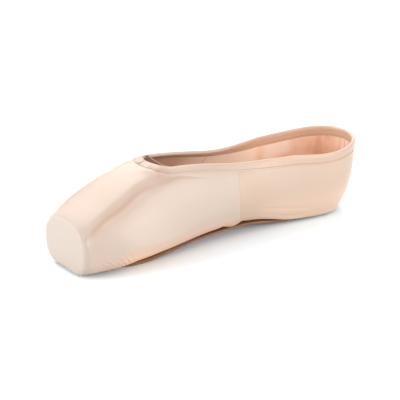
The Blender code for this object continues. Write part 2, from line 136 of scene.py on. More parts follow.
HEEL_CENTRE = HEEL_BACK["at"] * LENGTH
HEEL_ARC = HEEL_CENTRE * math.pi / 2
ORIGIN_FROM_HEEL = -CAD_LOW.x - (GAP + 0.7 * MM)
BALL_FLAT_END = SECTIONS["at"][-2] * LENGTH
EDGE_START = LENGTH - PLATFORM_EDGE_RADIUS
SMALL = 0.01 * MM
SHARE_NUDGE = 1e-4

# Layers of the upper, from the outside in
SATIN_THICKNESS = 0.5 * MM
LAYER_GAP = 0.05 * MM
SATIN_COAT = 0.35
CANVAS_PITCH = 0.9 * MM
# The boards' middle line ends this far from their ends
BOARD_MIDDLE_INSET = 5.4 * MM

# Troughs in the satin: place along the shoe, share of the form, depth and half width
VALLEY = "at share depth_mm width_mm"
# The long soft valley that parts the box's top from its sides
BOX_VALLEY = table(
    VALLEY,
    (0.640, 1.58, 0.0, 2.6), (0.695, 1.60, 0.35, 3.2), (0.740, 1.59, 1.0, 4.0),
    (0.790, 1.62, 1.6, 4.1), (0.863, 1.57, 1.8, 4.0), (0.918, 1.535, 1.7, 3.7),
    (0.953, 1.46, 1.4, 3.2), (1.0, 1.28, 0.9, 2.6),
)
# The fine crease below the binding, from the waist to where the valley starts
THROAT_CREASE = table(
    VALLEY,
    (0.572, 1.545, 0.0, 0.8), (0.600, 1.55, 0.35, 0.9), (0.634, 1.58, 0.6, 1.1),
    (0.666, 1.61, 0.6, 1.3), (0.700, 1.60, 0.4, 1.6), (0.745, 1.59, 0.0, 2.0),
)
# Shallow folds above the sole at the heel's side
HEEL_FOLDS = (
    table(
        VALLEY,
        (0.153, 0.34, 0.0, 0.9), (0.213, 0.43, 0.22, 0.9), (0.294, 0.55, 0.3, 1.0),
        (0.371, 0.62, 0.25, 1.1), (0.415, 0.66, 0.0, 1.1),
    ),
    table(
        VALLEY,
        (0.183, 0.10, 0.0, 0.8), (0.234, 0.20, 0.25, 0.9), (0.319, 0.37, 0.35, 1.0),
        (0.375, 0.43, 0.0, 1.0),
    ),
)
SIDE_SEAM_FROM_HEEL = 111 * MM
SIDE_SEAM_BOW = 8 * MM
# Where the seam's bulk turns under the waist, the satin bulges over the sole's edge
WAIST_BULGES = table(
    "height_mm place_mm length_mm share reach",
    (1.3, 111, 5.0, 0.14, 0.16), (-0.7, 102, 2.4, 0.16, 0.16), (-0.55, 119.5, 2.6, 0.16, 0.18),
)
FAN_CENTRE = 0.845 * LENGTH

# How high each form of the relief stands, or how deep it goes
BOX_SWELL = 0.45 * MM
EDGE_GROOVE = 0.6 * MM
EDGE_RIDGE = 0.25 * MM
SEAM_GROOVE = 0.15 * MM
SEAM_PUCKER = 0.10 * MM
HEEL_BULGE = 1.7 * MM
BALL_BULGE = 1.1 * MM
BACK_SEAM_GROOVE = 0.22 * MM
BACK_FOLD = 0.30 * MM
PLEAT_HEIGHT = 0.95 * MM
GATHER = 0.05 * MM
THROAT_GATHER = 0.13 * MM
SLACKNESS = 0.07 * MM

# What differs from side to side: the depth and the shift round the form of the valley,
# the throat's crease and the heel's folds, where the box swells, the phase of the pleats'
# wander and the share where they end
Side = namedtuple(
    "Side", "sign valley valley_shift crease crease_shift folds folds_shift swell wander pleats"
)
SIDES = (
    Side(1, 1.0, 0, 1.0, 0, 0.7, 0, 1.22, 0, 1.02),
    Side(-1, 0.85, 0.03, 0.6, -0.05, 0.5, 0.12, 1.27, 1.2, 0.9),
)


# ---------------------------------------------------------------------------
# The shoe's form
# ---------------------------------------------------------------------------


def cut_up(rows, column, where):
    """One column of a table as pieces between its rows: the values, the steps along the
    shoe and the slopes between them, and which piece each place is in, and how far.
    """
    at, values = rows["at"] * LENGTH, rows[column]
    step = np.diff(at)
    k = np.clip(np.searchsorted(at, where, side="right") - 1, 0, len(step) - 1)
    return values, step, np.diff(values) / step, k, np.clip(where - at[k], 0, step[k])


def smooth_through(rows, column, where):
    """A cubic curve through one column of a table that never swings past its values.

    Each piece is a Hermite cubic whose slopes are the weighted harmonic means of the
    slopes beside them.
    """
    values, step, slope, k, into = cut_up(rows, column, where)
    tangent = np.zeros_like(values)
    first = 2 * step[1:] + step[:-1]
    second = step[1:] + 2 * step[:-1]
    turns_back = slope[:-1] * slope[1:] <= 0
    weighted = np.where(turns_back, 1, first * slope[1:] + second * slope[:-1])
    mean = (first + second) * slope[:-1] * slope[1:] / weighted
    tangent[1:-1] = np.where(turns_back, 0, mean)
    tangent[-1] = slope[-1]
    t = into / step[k]
    return (
        (1 + 2 * t) * (1 - t) ** 2 * values[k]
        + t * (1 - t) ** 2 * step[k] * tangent[k]
        + t * t * (3 - 2 * t) * values[k + 1]
        + t * t * (t - 1) * step[k] * tangent[k + 1]
    )


def fair_through(rows, column, where):
    """A cubic spline through one column of a table, level at its start, unbent at its end.

    The bends at the rows solve the usual spline equations, so curvature has no jumps.
    """
    values, step, slope, k, t = cut_up(rows, column, where)
    balance = np.eye(len(values))
    pull = np.zeros(len(values))
    balance[0, :2] = (2 * step[0], step[0])
    pull[0] = 6 * slope[0]
    for i in range(1, len(step)):
        balance[i, i - 1:i + 2] = (step[i - 1], 2 * (step[i - 1] + step[i]), step[i])
        pull[i] = 6 * (slope[i] - slope[i - 1])
    bend = np.linalg.solve(balance, pull)
    return (
        values[k]
        + t * (slope[k] - step[k] * (2 * bend[k] + bend[k + 1]) / 6)
        + t**2 * bend[k] / 2
        + t**3 * (bend[k + 1] - bend[k]) / (6 * step[k])
    )


def column_at(name, distance):
    """One column of the sections at any distance from the heel's back."""
    curve = fair_through if name in FAIR_COLUMNS else smooth_through
    return curve(SECTIONS, name, distance)


def half_round(distance, end, reach):
    """1 at the reach behind the end, falling to 0 at the end as a quarter circle does."""
    left = np.clip((end - distance) / reach, 0, 1)
    return np.sqrt(1 - (1 - left) ** 2)


def station(along):
    """Distance from the heel's back, and angle about the heel's centre, of each station."""
    distance = HEEL_CENTRE + np.maximum(along, 0)
    angle = np.maximum(-along, 0) / HEEL_CENTRE
    return distance, angle


def section_at(along):
    """Every column of the section at each station; round the heel it blends to its back."""
    distance, angle = station(along)
    backness = np.sin(angle) ** 2
    columns = {
        name: backness * back + (1 - backness) * column_at(name, distance)
        for name, back in HEEL_BACK.items() if name != "at"
    }
    return SimpleNamespace(at=distance, **columns)


def narrowing(row, lean):
    """The cosine of the lean, raised to the section's upper power."""
    return np.clip(np.cos(lean), 0, 1) ** (2 / row.upper)


def upper_quarter(row, share):
    """Half width and height, from the widest place at share 0 to the wall's end at 1.

    The wall leans over by share times the section's turn; its width and height follow
    the cosine and the sine of that lean, raised to the section's power.
    """
    end = np.radians(row.turn)
    lean = np.clip(share, 0, 1) * end
    narrowest = narrowing(row, end)
    leaning = (narrowing(row, lean) - narrowest) / (1 - narrowest)
    rising = (np.sin(lean) / np.sin(end)) ** (2 / row.upper)
    belly_height = row.lift + row.belly
    return (
        row.close + (row.half - row.close) * leaning,
        belly_height + (row.top - belly_height) * rising,
    )


def collar_share(along):
    """Share of the upper quarter at which the collar cuts it, 1 ahead of the throat."""
    row = section_at(along)
    rounding = half_round(row.at, THROAT_FROM_HEEL, THROAT_ROUNDING)
    wanted = smooth_through(COLLAR, "half", row.at) * rounding
    end = np.radians(row.turn)
    narrowest = narrowing(row, end)
    cut = wanted > row.close + SMALL
    part = (wanted - row.close) / np.where(cut, row.half - row.close, 1)
    narrowed = narrowest + (1 - narrowest) * part
    lean = np.arccos(np.clip(narrowed, 0, 1) ** (row.upper / 2))
    return np.where(cut & (along > 0), lean / end, 1)


def form(along, share):
    """Points of the shoe's left half at a place along it and a share round it.

    share runs from -1 at the underside's inner edge to 0 at the flat underside's outer
    edge, on to 1 at the widest place, and to 2 at the wall's end. Below the widest place
    the section is a superellipse quarter of the section's lower power.
    """
    along, share = np.broadcast_arrays(along, share)
    row = section_at(along)
    angle = station(along)[1]
    hole = half_round(row.at, MARGIN_END, MARGIN_END_ROUNDING)
    inner = np.maximum(row.foot - FOLDED_MARGIN, 0) * hole
    under = inner + (row.foot - inner) * (1 + share)
    low = np.clip(share, 0, 1) * math.pi / 2
    lower = row.foot + (row.half - row.foot) * np.sin(low) ** (2 / row.lower)
    low_height = row.lift + row.belly * (1 - np.cos(low) ** (2 / row.lower))
    upper, high_height = upper_quarter(row, share - 1)
    radius = np.where(share < 0, under, np.where(share < 1, lower, upper))
    height = np.where(share < 1, low_height, high_height)
    x = row.at - radius * np.sin(angle) - ORIGIN_FROM_HEEL
    return np.stack([x, radius * np.cos(angle), height], -1)


def unit(vectors):
    """The vectors, each divided by its length."""
    return vectors / np.maximum(np.linalg.norm(vectors, axis=-1, keepdims=True), 1e-12)


def slopes(along, share):
    """How the form's points move with along and with share."""
    by_along = (form(along + SMALL, share) - form(along - SMALL, share)) / (2 * SMALL)
    by_share = (form(along, share) - form(along, share - SHARE_NUDGE)) / SHARE_NUDGE
    return by_along, by_share


def outward(along, share):
    """Unit vectors pointing out of the form: the cross product of its two slopes."""
    by_along, by_share = slopes(along, share)
    return unit(np.cross(by_share, by_along))


def spaced(start, end, count):
    """Evenly spaced values that leave out the last one."""
    return np.linspace(start, end, count + 1)[:-1]


def rounded_off(end, reach, count):
    """Stations along a half round, close together at its end, which is left out."""
    turn = spaced(math.pi / 2, 0, count)
    return end - reach * (1 - np.cos(turn))


def collar_stations(heel, quarter, throat):
    """Stations from the heel's back to the throat, this many round each stretch."""
    return np.concatenate([
        spaced(-HEEL_ARC, 0, heel),
        spaced(HEEL_CENTRE, THROAT_FROM_HEEL - THROAT_ROUNDING, quarter) - HEEL_CENTRE,
        rounded_off(THROAT_FROM_HEEL, THROAT_ROUNDING, throat) - HEEL_CENTRE,
        [THROAT_FROM_HEEL - HEEL_CENTRE],
    ])


def upper_stations(heel, quarter, throat, vamp, margin_end, box):
    """Stations from the heel's back to where the platform's edge starts to round."""
    ahead = np.concatenate([
        spaced(THROAT_FROM_HEEL, MARGIN_END - MARGIN_END_ROUNDING, vamp)[1:],
        rounded_off(MARGIN_END, MARGIN_END_ROUNDING, margin_end),
        spaced(MARGIN_END, EDGE_START, box),
        [EDGE_START],
    ])
    return np.concatenate([collar_stations(heel, quarter, throat), ahead - HEEL_CENTRE])


def wall_at(distance):
    """Thickness of the upper's wall at a distance from the heel's back."""
    return smooth_through(WALLS, "thickness", distance)


def on_midplane(points):
    """The same points with the first and the last set exactly into the shoe's middle."""
    points = points.copy()
    points[[0, -1], 1] = 0
    return points


def collar_frame(along):
    """The collar's edge: its share of the form, its outward normals, and the directions
    that lead from the opening into the wall.
    """
    share = 1 + collar_share(along)
    edge = form(along, share)
    other_side = edge * (1, -1, 1)
    loop = np.concatenate([other_side[1:2], edge, other_side[-2:-1]])
    tangent = unit(loop[2:] - loop[:-2])
    normal = unit(on_midplane(outward(along, share)))
    away = unit(on_midplane(np.cross(normal, tangent)))
    return share, normal, away


def walked(along, share, away, reach):
    """Where on the form a walk of this reach away from each collar point ends.

    Newton's steps on the form's two parameters close the miss, and a step in share is
    held to a fifth.
    """
    target = form(along, share) + reach * away
    for _ in range(24):
        by_along, by_share = slopes(along, share)
        miss = target - form(along, share)
        aa = (by_along * by_along).sum(-1)
        ab = (by_along * by_share).sum(-1)
        bb = (by_share * by_share).sum(-1)
        a_miss = (by_along * miss).sum(-1)
        b_miss = (by_share * miss).sum(-1)
        area = aa * bb - ab * ab
        along = along + (bb * a_miss - ab * b_miss) / area
        step = np.clip((aa * b_miss - ab * a_miss) / area, -0.2, 0.2)
        share = np.minimum(share + step, 2)
    return along, share


def around_rim(along, reach, outside, over=None):
    """One line of points beside the collar's rim.

    Without over it lies at the reach from the edge, by outside over the outer face, or by
    minus outside under the inner face. With over, in degrees, it rounds the edge itself,
    outside from the wall, from 0 on the outer face to 180 on the inner.
    """
    share, normal, away = collar_frame(along)
    at_along, at_share = walked(along, share, away, reach) if reach else (along, share)
    wall = wall_at(station(at_along)[0])[:, None]
    normal = unit(on_midplane(outward(at_along, at_share)))
    points = form(at_along, at_share)
    outside = np.broadcast_to(outside, along.shape)[:, None]
    if over is None:
        points = points + np.where(outside > 0, outside, outside - wall) * normal
    else:
        turn = math.radians(over)
        middle = points - 0.5 * wall * normal
        turned = math.cos(turn) * normal - math.sin(turn) * away
        points = middle + (0.5 * wall + outside) * turned
    return on_midplane(points)


# ---------------------------------------------------------------------------
# Soft relief: troughs, folds and gathers on the form
# ---------------------------------------------------------------------------


def bell(offset, width):
    """A soft bell, 1 in its middle: e to the minus square of offset over width."""
    return np.exp(-((offset / width) ** 2))


def ramp(value, start, end):
    """0 before start and 1 after end, with the smooth cubic step between them."""
    t = np.clip((value - start) / (end - start), 0, 1)
    return t * t * (3 - 2 * t)


def valley(rows, distance, share, rate, shift=0.0):
    """A trough along a line of the form.

    Its depth times a bell of the offset across it, which is the difference in share
    times the form's length per share.
    """
    line = smooth_through(rows, "share", distance) + shift
    depth = smooth_through(rows, "depth", distance)
    width = smooth_through(rows, "width", distance)
    start, end = rows["at"][[0, -1]] * LENGTH
    inside = (distance >= start) & (distance <= end + SMALL)
    return np.where(inside, -depth * bell((share - line) * rate, width), 0)


def seam_offset(distance, share):
    """Signed distance along the shoe from the side seam, which bows towards the heel
    above and below its middle.
    """
    return distance - (SIDE_SEAM_FROM_HEEL - SIDE_SEAM_BOW * (share - 1.1) ** 2)


def relief(grid, side, depth):
    """How far each point of the satin stands out, or in where negative, in metres, and how
    much painted shade it gets, from 0 to 1: in its valleys and folds, behind the platform's
    edge and among the throat's gathers.

    The sum of the valleys, folds, gathers and pleats, faded out under the binding.
    """
    distance, share, rate, girth = (grid[key] for key in ("distance", "share", "rate", "girth"))
    run, near_rim = grid["run"], grid["rim"]
    x, y, z = np.moveaxis(grid["points"], -1, 0)
    across = np.abs(y)
    behind_edge = LENGTH - distance

    def trough(rows, by, shift):
        """One of the tables' valleys on this side of the shoe."""
        return by * valley(rows, distance, share, rate, shift)

    height = trough(BOX_VALLEY, side.valley, side.valley_shift)
    height += trough(THROAT_CREASE, side.crease, side.crease_shift)
    for fold in HEEL_FOLDS:
        height += trough(fold, side.folds, side.folds_shift)
    # crease measures painted shade: how deep the valleys and folds lie, as a share of the box
    # valley's depth
    crease = -height / BOX_VALLEY["depth"].max()

    # The box's sides and top swell a little beside the valley
    swell = ramp(distance, 0.72 * LENGTH, 0.80 * LENGTH)
    swell *= 1 - ramp(distance, 0.93 * LENGTH, LENGTH)
    height += BOX_SWELL * swell * bell(share - side.swell, 0.22)

    # The platform's edge stands up as a ridge, with a groove behind it
    edge_side = ramp(share, 0.5, 0.85) * (1 - ramp(share, 1.35, 1.6))
    height -= EDGE_GROOVE * bell(behind_edge - 3.7 * MM, 1.0 * MM) * edge_side
    height += EDGE_RIDGE * ramp(-behind_edge, -3.6 * MM, -2.6 * MM) * edge_side

    # Side seam: a fine groove, and puckers that die out beside it
    seam = seam_offset(distance, share)
    on_wall = ramp(share, 0.05, 0.2)
    height -= SEAM_GROOVE * bell(seam, 0.9 * MM) * on_wall
    pucker = np.sin(girth / (2.9 * MM) + 2.2 * np.sin(girth / (7.3 * MM)))
    height += SEAM_PUCKER * pucker * bell(seam, 5.5 * MM) * on_wall

    for rise, place, length, middle, reach in zip(*WAIST_BULGES.values()):
        height += rise * bell(distance - place, length) * bell(share - middle, reach)

    # Round the heel and along the ball the satin bulges down beside the narrower sole
    on_sole = np.maximum(distance, OUTSOLE["at"][0] * LENGTH)
    beside = across - smooth_through(OUTSOLE, "half", on_sole)
    beside = np.where(x < OUTSOLE_HEEL_MARGIN - ORIGIN_FROM_HEEL, 3 * MM, beside)
    at_heel = 1 - ramp(distance, 62 * MM, 92 * MM)
    at_heel *= ramp(beside, 0.5 * MM, 2.2 * MM)
    height += HEEL_BULGE * bell(share - 0.06, 0.13) * at_heel
    at_ball = ramp(distance, 128 * MM, 150 * MM) * (1 - ramp(distance, 200 * MM, 222 * MM))
    at_ball *= ramp(beside, 0.5 * MM, 2.5 * MM)
    height += BALL_BULGE * bell(share - 0.10, 0.14) * at_ball

    # Back seam: a groove down the heel's middle, and a shallow V fold at its foot
    behind = ramp(-x, 0.09, 0.10)
    height -= BACK_SEAM_GROOVE * bell(y, 0.8 * MM) * behind * ramp(share, 0.1, 0.3)
    fold = bell(across - 0.55 * (z - 7 * MM), 1.1 * MM) * ramp(share, 0.15, 0.3)
    height -= BACK_FOLD * fold * behind * (1 - ramp(z, 14 * MM, 20 * MM))

    # Pleats fan out from the outsole's toe end, under the box and up its lower side
    ahead = x - (FAN_CENTRE - ORIGIN_FROM_HEEL)
    fan = np.arctan2(across, ahead)
    wander = 0.35 * np.sin(3.1 * fan + side.wander) + 0.25 * np.sin(7.3 * fan)
    turn = 56 * fan + 30 * np.clip(share, 0, 1) + 3 * wander * np.sin(fan) ** 2
    pleat = (0.5 - 0.5 * np.cos(turn)) ** 0.7 - 0.5
    reach = 1 - ramp(share, 0.35, side.pleats)
    reach *= ramp(np.hypot(y, ahead), 6 * MM, 14 * MM) * (1 - 0.6 * bell(share, 0.12))
    from_heel = x + ORIGIN_FROM_HEEL
    reach *= ramp(from_heel, 0.80 * LENGTH, 0.87 * LENGTH)
    reach *= 1 - 0.9 * ramp(from_heel, 0.965 * LENGTH, LENGTH)
    height += PLEAT_HEIGHT * pleat * reach

    # Gathers where the drawstring pulls the throat, and along the binding
    at_throat = bell(from_heel - THROAT_FROM_HEEL, 17 * MM)
    gather = np.cos(run / (0.95 * MM) + 1.3 * np.cos(run / (3.7 * MM)))
    gather *= GATHER + THROAT_GATHER * at_throat
    height += gather * bell(near_rim - 6 * MM, 5 * MM)

    # The cloth's own slackness
    phase = side.sign
    slack = np.sin(x / (11 * MM) + 1.1 * phase) * np.sin(girth / (8 * MM) + 0.7 * phase)
    slack += 0.6 * np.sin(x / (6.3 * MM) - girth / (9 * MM) + 2.0 * phase)
    height += SLACKNESS * slack * ramp(across, 0, 12 * MM) * ramp(share, 0.1, 0.5)

    # Painted shade in and behind the groove at the platform's edge
    shading = 0.9 * bell(behind_edge - 2.7 * MM, 1.2 * MM)
    shading += 0.25 * bell(behind_edge - 8 * MM, 7 * MM)
    crease += shading * edge_side
    # Painted shade between the throat and the valley, among the gathers
    shading = bell(near_rim - 10 * MM, 6 * MM) * bell(distance - THROAT_FROM_HEEL, 15 * MM)
    crease += 0.9 * shading * ramp(share, 1.45, 1.6) * ramp(across, 6 * MM, 11 * MM)
    under_rim = ramp(near_rim, 4.5 * MM, 8.5 * MM)
    return depth * height * under_rim, np.clip(crease, 0, 1) * under_rim


def running(points, axis=0):
    """Length along each line of points, from its first to each of them."""
    steps = np.linalg.norm(np.diff(points, axis=axis), axis=-1)
    start = np.zeros_like(steps.take([0], axis))
    return np.concatenate([start, np.cumsum(steps, axis)], axis)


def collar_run(along):
    """Length of the collar's edge from the heel's back to each station."""
    return running(form(along, 1 + collar_share(along)))


def half_grid(counts, under, lower, upper):
    """The left half of the upper's outer face as a grid of stations by rows, with the
    distance, share, girth and closeness to the collar of each point.
    """
    along = upper_stations(*counts)
    top = 1 + collar_share(along)
    fixed = np.concatenate([spaced(-1, 0, under), spaced(0, 1, lower)])
    rows = [np.full_like(along, share) for share in fixed]
    rows += [1 + part * (top - 1) for part in np.linspace(0, 1, upper + 1)]
    share = np.stack(rows, 1)
    distance = station(along)[0]
    points = form(along[:, None], share)
    points[0, :, 1] = 0
    points[along >= THROAT_FROM_HEEL - HEEL_CENTRE, -1, 1] = 0
    points[distance >= MARGIN_END, 0, 1] = 0
    girth = running(points, 1)
    girth = girth - girth[:, [under]]
    full = form(along[:, None], np.linspace(1, 2, 60))
    ridge = girth[:, [under + lower]] + running(full, 1)[:, -1:]
    length = running(form(along, np.ones_like(along)))
    fine = collar_stations(60, 120, 30)
    edge = form(fine, 1 + collar_share(fine))[::2]
    apart = np.linalg.norm(points[:, :, None] - edge, axis=-1)
    return {
        "along": along,
        "points": points,
        "distance": np.broadcast_to(distance[:, None], share.shape),
        "share": share,
        "girth": girth,
        "rate": np.gradient(girth, axis=1) / np.gradient(share, axis=1),
        "rim": apart.min(-1),
        "run": collar_run(fine)[::2][apart.argmin(-1)],
        "uv": np.stack(np.broadcast_arrays(length[:, None], ridge - girth), -1),
    }


def platform_rings(rim, edge_steps, rings):
    """Rings that round the box over from its last section to the flat platform.

    Each ring is the section drawn in about its own middle by the same width all round,
    a quarter circle for the edge and then a shallow dome.
    """
    middle = 0.5 * (rim[:, 2].min() + rim[:, 2].max())
    half_height = 0.5 * np.ptp(rim[:, 2])
    half_width = rim[:, 1].max()
    turn = np.linspace(0, math.pi / 2, edge_steps + 1)[1:]
    inset = PLATFORM_EDGE_RADIUS * (1 - np.cos(turn))
    wide = 1 - inset / half_width
    high = 1 - inset / half_height
    ahead = EDGE_START + PLATFORM_EDGE_RADIUS * np.sin(turn) - PLATFORM_DOME
    scale = spaced(1, 0, rings + 1)[1:]
    wide = np.concatenate([wide, wide[-1] * scale])
    high = np.concatenate([high, high[-1] * scale])
    ahead = np.concatenate([ahead, LENGTH - PLATFORM_DOME * scale**2])
    points = np.broadcast_to(rim, (len(wide),) + rim.shape).copy()
    points[:, :, 0] = ahead[:, None] - ORIGIN_FROM_HEEL
    points[:, :, 1] *= wide[:, None]
    points[:, :, 2] = middle + (points[:, :, 2] - middle) * high[:, None]
    return points, np.array([LENGTH - ORIGIN_FROM_HEEL, 0, middle])


# ---------------------------------------------------------------------------
# Meshes
# ---------------------------------------------------------------------------


def grid_faces(lines, length, closed=False):
    """Corner numbers of the faces between neighbouring lines of a grid of points."""
    i = np.arange(lines - 1)[:, None] * length
    j = np.arange(length if closed else length - 1)[None, :]
    k = (j + 1) % length
    corners = np.broadcast_arrays(i + j, i + k, i + length + k, i + length + j)
    return np.stack(corners, -1).reshape(-1, 4)


def add_mesh(name, points, faces, uv=None, attributes=None):
    """A mesh object from arrays. faces is a list of arrays of corner numbers, uv holds a
    pair for each corner of each of those, and the attributes a number for each point.
    """
    mesh = bpy.data.meshes.new(name)
    mesh.from_pydata(points.tolist(), [], [face for block in faces for face in block.tolist()])
    if uv is not None:
        pairs = np.concatenate([block.ravel() for block in uv]).astype(np.float32)
        mesh.uv_layers.new(name="weave").data.foreach_set("uv", pairs)
    for key, values in (attributes or {}).items():
        layer = mesh.attributes.new(key, "FLOAT", "POINT")
        layer.data.foreach_set("value", values.astype(np.float32))
    obj = bpy.data.objects.new(name, mesh)
    bpy.context.scene.collection.objects.link(obj)
    return obj


def add_grid(name, points, uv, closed=False):
    """A mesh object from a grid of points and their UV."""
    faces = grid_faces(*points.shape[:2], closed)
    return add_mesh(name, points.reshape(-1, 3), [faces], [uv.reshape(-1, 2)[faces]])


def weld(obj, sharp, turn_out=False):
    """Joins the halves at the shoe's middle, turns the faces outwards where asked, and
    sets smooth shading with edges sharp from this angle, in degrees.
    """
    work = bmesh.new()
    work.from_mesh(obj.data)
    bmesh.ops.remove_doubles(work, verts=work.verts, dist=SMALL / 4)
    bmesh.ops.dissolve_degenerate(work, edges=work.edges, dist=SMALL / 10)
    if turn_out:
        bmesh.ops.recalc_face_normals(work, faces=work.faces)
    work.to_mesh(obj.data)
    work.free()
    obj.data.shade_smooth()
    obj.data.set_sharp_from_angle(angle=math.radians(sharp))


def both_sides(points, faces, uv):
    """The left half's arrays joined to those of the right, whose faces are turned round.

    points and uv are pairs (left, right), and uv holds a block for each block of faces.
    """
    count = len(points[0])
    right_faces = [np.flip(block, axis=1) + count for block in faces]
    right_uv = [np.flip(block, axis=1) for block in uv[1]]
    return np.concatenate(points), list(faces) + right_faces, list(uv[0]) + right_uv


def mirrored(name, lines, uv, turned, closed, **marks):
    """Both halves of a piece as one mesh, from the left half's lines of points.

    uv is multiplied by turned on the right, and marks holds a row of values to keep at
    the points of each line.
    """
    half = lines.reshape(-1, 3)
    faces = [grid_faces(*lines.shape[:2], closed)]
    uv = uv.reshape(-1, 2)[faces[0]]
    whole = both_sides([half, half * (1, -1, 1)], faces, [[uv], [uv * turned]])
    marks = {
        key: np.tile(np.broadcast_to(row, lines.shape[:2]).ravel(), 2)
        for key, row in marks.items()
    }
    return add_mesh(name, *whole, marks)


def vertex_normals(points, faces):
    """Normals of the points: the sum of the cross products of each face's diagonals."""
    total = np.zeros_like(points)
    for block in faces:
        a, b = points[block[:, 0]], points[block[:, 1]]
        c, d = points[block[:, 2]], points[block[:, -1]]
        flat = np.cross(c - a, d - b)
        for column in block.T:
            np.add.at(total, column, flat)
    return unit(total)


def dress(obj, material, node=None):
    """Gives a finished piece its material and its CAD body, and hides the CAD node that it
    stands for.
    """
    obj.data.materials.clear()
    obj.data.materials.append(material)
    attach(obj, "root")
    if node:
        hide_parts(node)
    return obj


def solidify(obj, thickness, group=None):
    """A wall that grows inwards from the object's faces."""
    shell = obj.modifiers.new("Wall", "SOLIDIFY")
    shell.thickness = thickness
    shell.offset = -1
    shell.use_quality_normals = True
    if group:
        shell.vertex_group = group


def upper_half(grid, side, depth, edge_steps, rings):
    """One half of the upper's outer face, platform included: its points, faces, UV and
    marks, which are each point's distance from the side seam and its painted crease shade.
    """
    height, crease = relief(grid, side, depth)
    points = grid["points"]
    normal = outward(grid["along"][:, None], np.clip(grid["share"], -1, 2 - SHARE_NUDGE))
    flat_x = (grid["share"] < 0)[..., None]
    normal = np.where(flat_x, np.array([0, 0, -1.0]), normal)
    middle = np.abs(points[..., 1]) < SMALL
    normal[..., 1] = np.where(middle, 0, normal[..., 1])
    lines = points + height[..., None] * unit(normal)
    lines[..., 1] = np.where(middle, 0, lines[..., 1])
    cap, tip = platform_rings(lines[-1], edge_steps, rings)
    uv = grid["uv"]
    ring_uv = np.broadcast_to(uv[-1], cap.shape[:2] + (2,)).copy()
    ring_uv[..., 0] += np.linalg.norm(cap - lines[-1], axis=-1)
    length = lines.shape[1]
    body = len(lines) + edge_steps
    last = (len(lines) + len(cap) - 1) * length
    fan = np.arange(length - 1)
    faces = [
        grid_faces(body, length),
        grid_faces(len(cap) - edge_steps + 1, length) + (body - 1) * length,
        np.stack([last + fan, last + fan + 1, np.full_like(fan, last + length)], 1),
    ]
    points = np.concatenate([lines.reshape(-1, 3), cap.reshape(-1, 3), [tip]])
    wrapped = np.concatenate([uv.reshape(-1, 2), ring_uv.reshape(-1, 2), ring_uv[-1, :1]])
    # On the platform the cloth hangs straight down from its upper edge
    over = wrapped[body * length - 1, 0] + points[:, 2].max() - points[:, 2]
    hanging = np.stack([over, points[:, 1]], 1)
    uv = [wrapped[faces[0]], hanging[faces[1]], hanging[faces[2]]]
    seam = seam_offset(grid["distance"], grid["share"])
    past = len(points) - seam.size
    fading = ramp(np.arange(1, len(cap) + 1), 3.6, 0.5)[:, None]
    marks = np.stack([
        np.concatenate([seam.ravel(), np.full(past, 0.12)]),
        np.concatenate([crease.ravel(), (fading * crease[-1]).ravel(), [0]]),
    ])
    if side.sign < 0:
        points = points * (1, -1, 1)
        uv = [block * (1, -1) for block in uv]
    return points, faces, uv, marks


def upper_halves(grid, depth, edge_steps, rings):
    """Both halves of the upper's outer face: a pair of points and of UV, the faces that
    each has, and the marks of all points.
    """
    halves = [upper_half(grid, side, depth, edge_steps, rings) for side in SIDES]
    points, faces, uv, marks = zip(*halves)
    return points, faces[0], uv, np.concatenate(marks, axis=1)


# ---------------------------------------------------------------------------
# Materials
# ---------------------------------------------------------------------------


class Shade:
    """A socket of a material, used in ordinary sums, which add its Math nodes."""

    def __init__(self, recipe, socket):
        self.recipe = recipe
        self.socket = socket

    def maths(self, operation, *values):
        """A Math node with these values."""
        values = dict(enumerate(values))
        return self.recipe.node("ShaderNodeMath", {"operation": operation}, values)

    def __add__(self, other):
        return self.maths("ADD", self, other)

    __radd__ = __add__

    def __sub__(self, other):
        return self.maths("SUBTRACT", self, other)

    def __rsub__(self, other):
        return self.maths("SUBTRACT", other, self)

    def __mul__(self, other):
        return self.maths("MULTIPLY", self, other)

    __rmul__ = __mul__

    def __abs__(self):
        return self.maths("ABSOLUTE", self)

    def sine(self):
        """The sine of the socket's value, in radians."""
        return self.maths("SINE", self)

    def over(self, start, end):
        """0 at start and 1 at end, smooth between them and level beyond."""
        return self.recipe.node(
            "ShaderNodeMapRange",
            {"interpolation_type": "SMOOTHSTEP"},
            {"Value": self, "From Min": start, "From Max": end},
        )

    def near(self, start, end):
        """1 where it is closer to 0 than start, falling to 0 at end."""
        return 1 - abs(self).over(start, end)


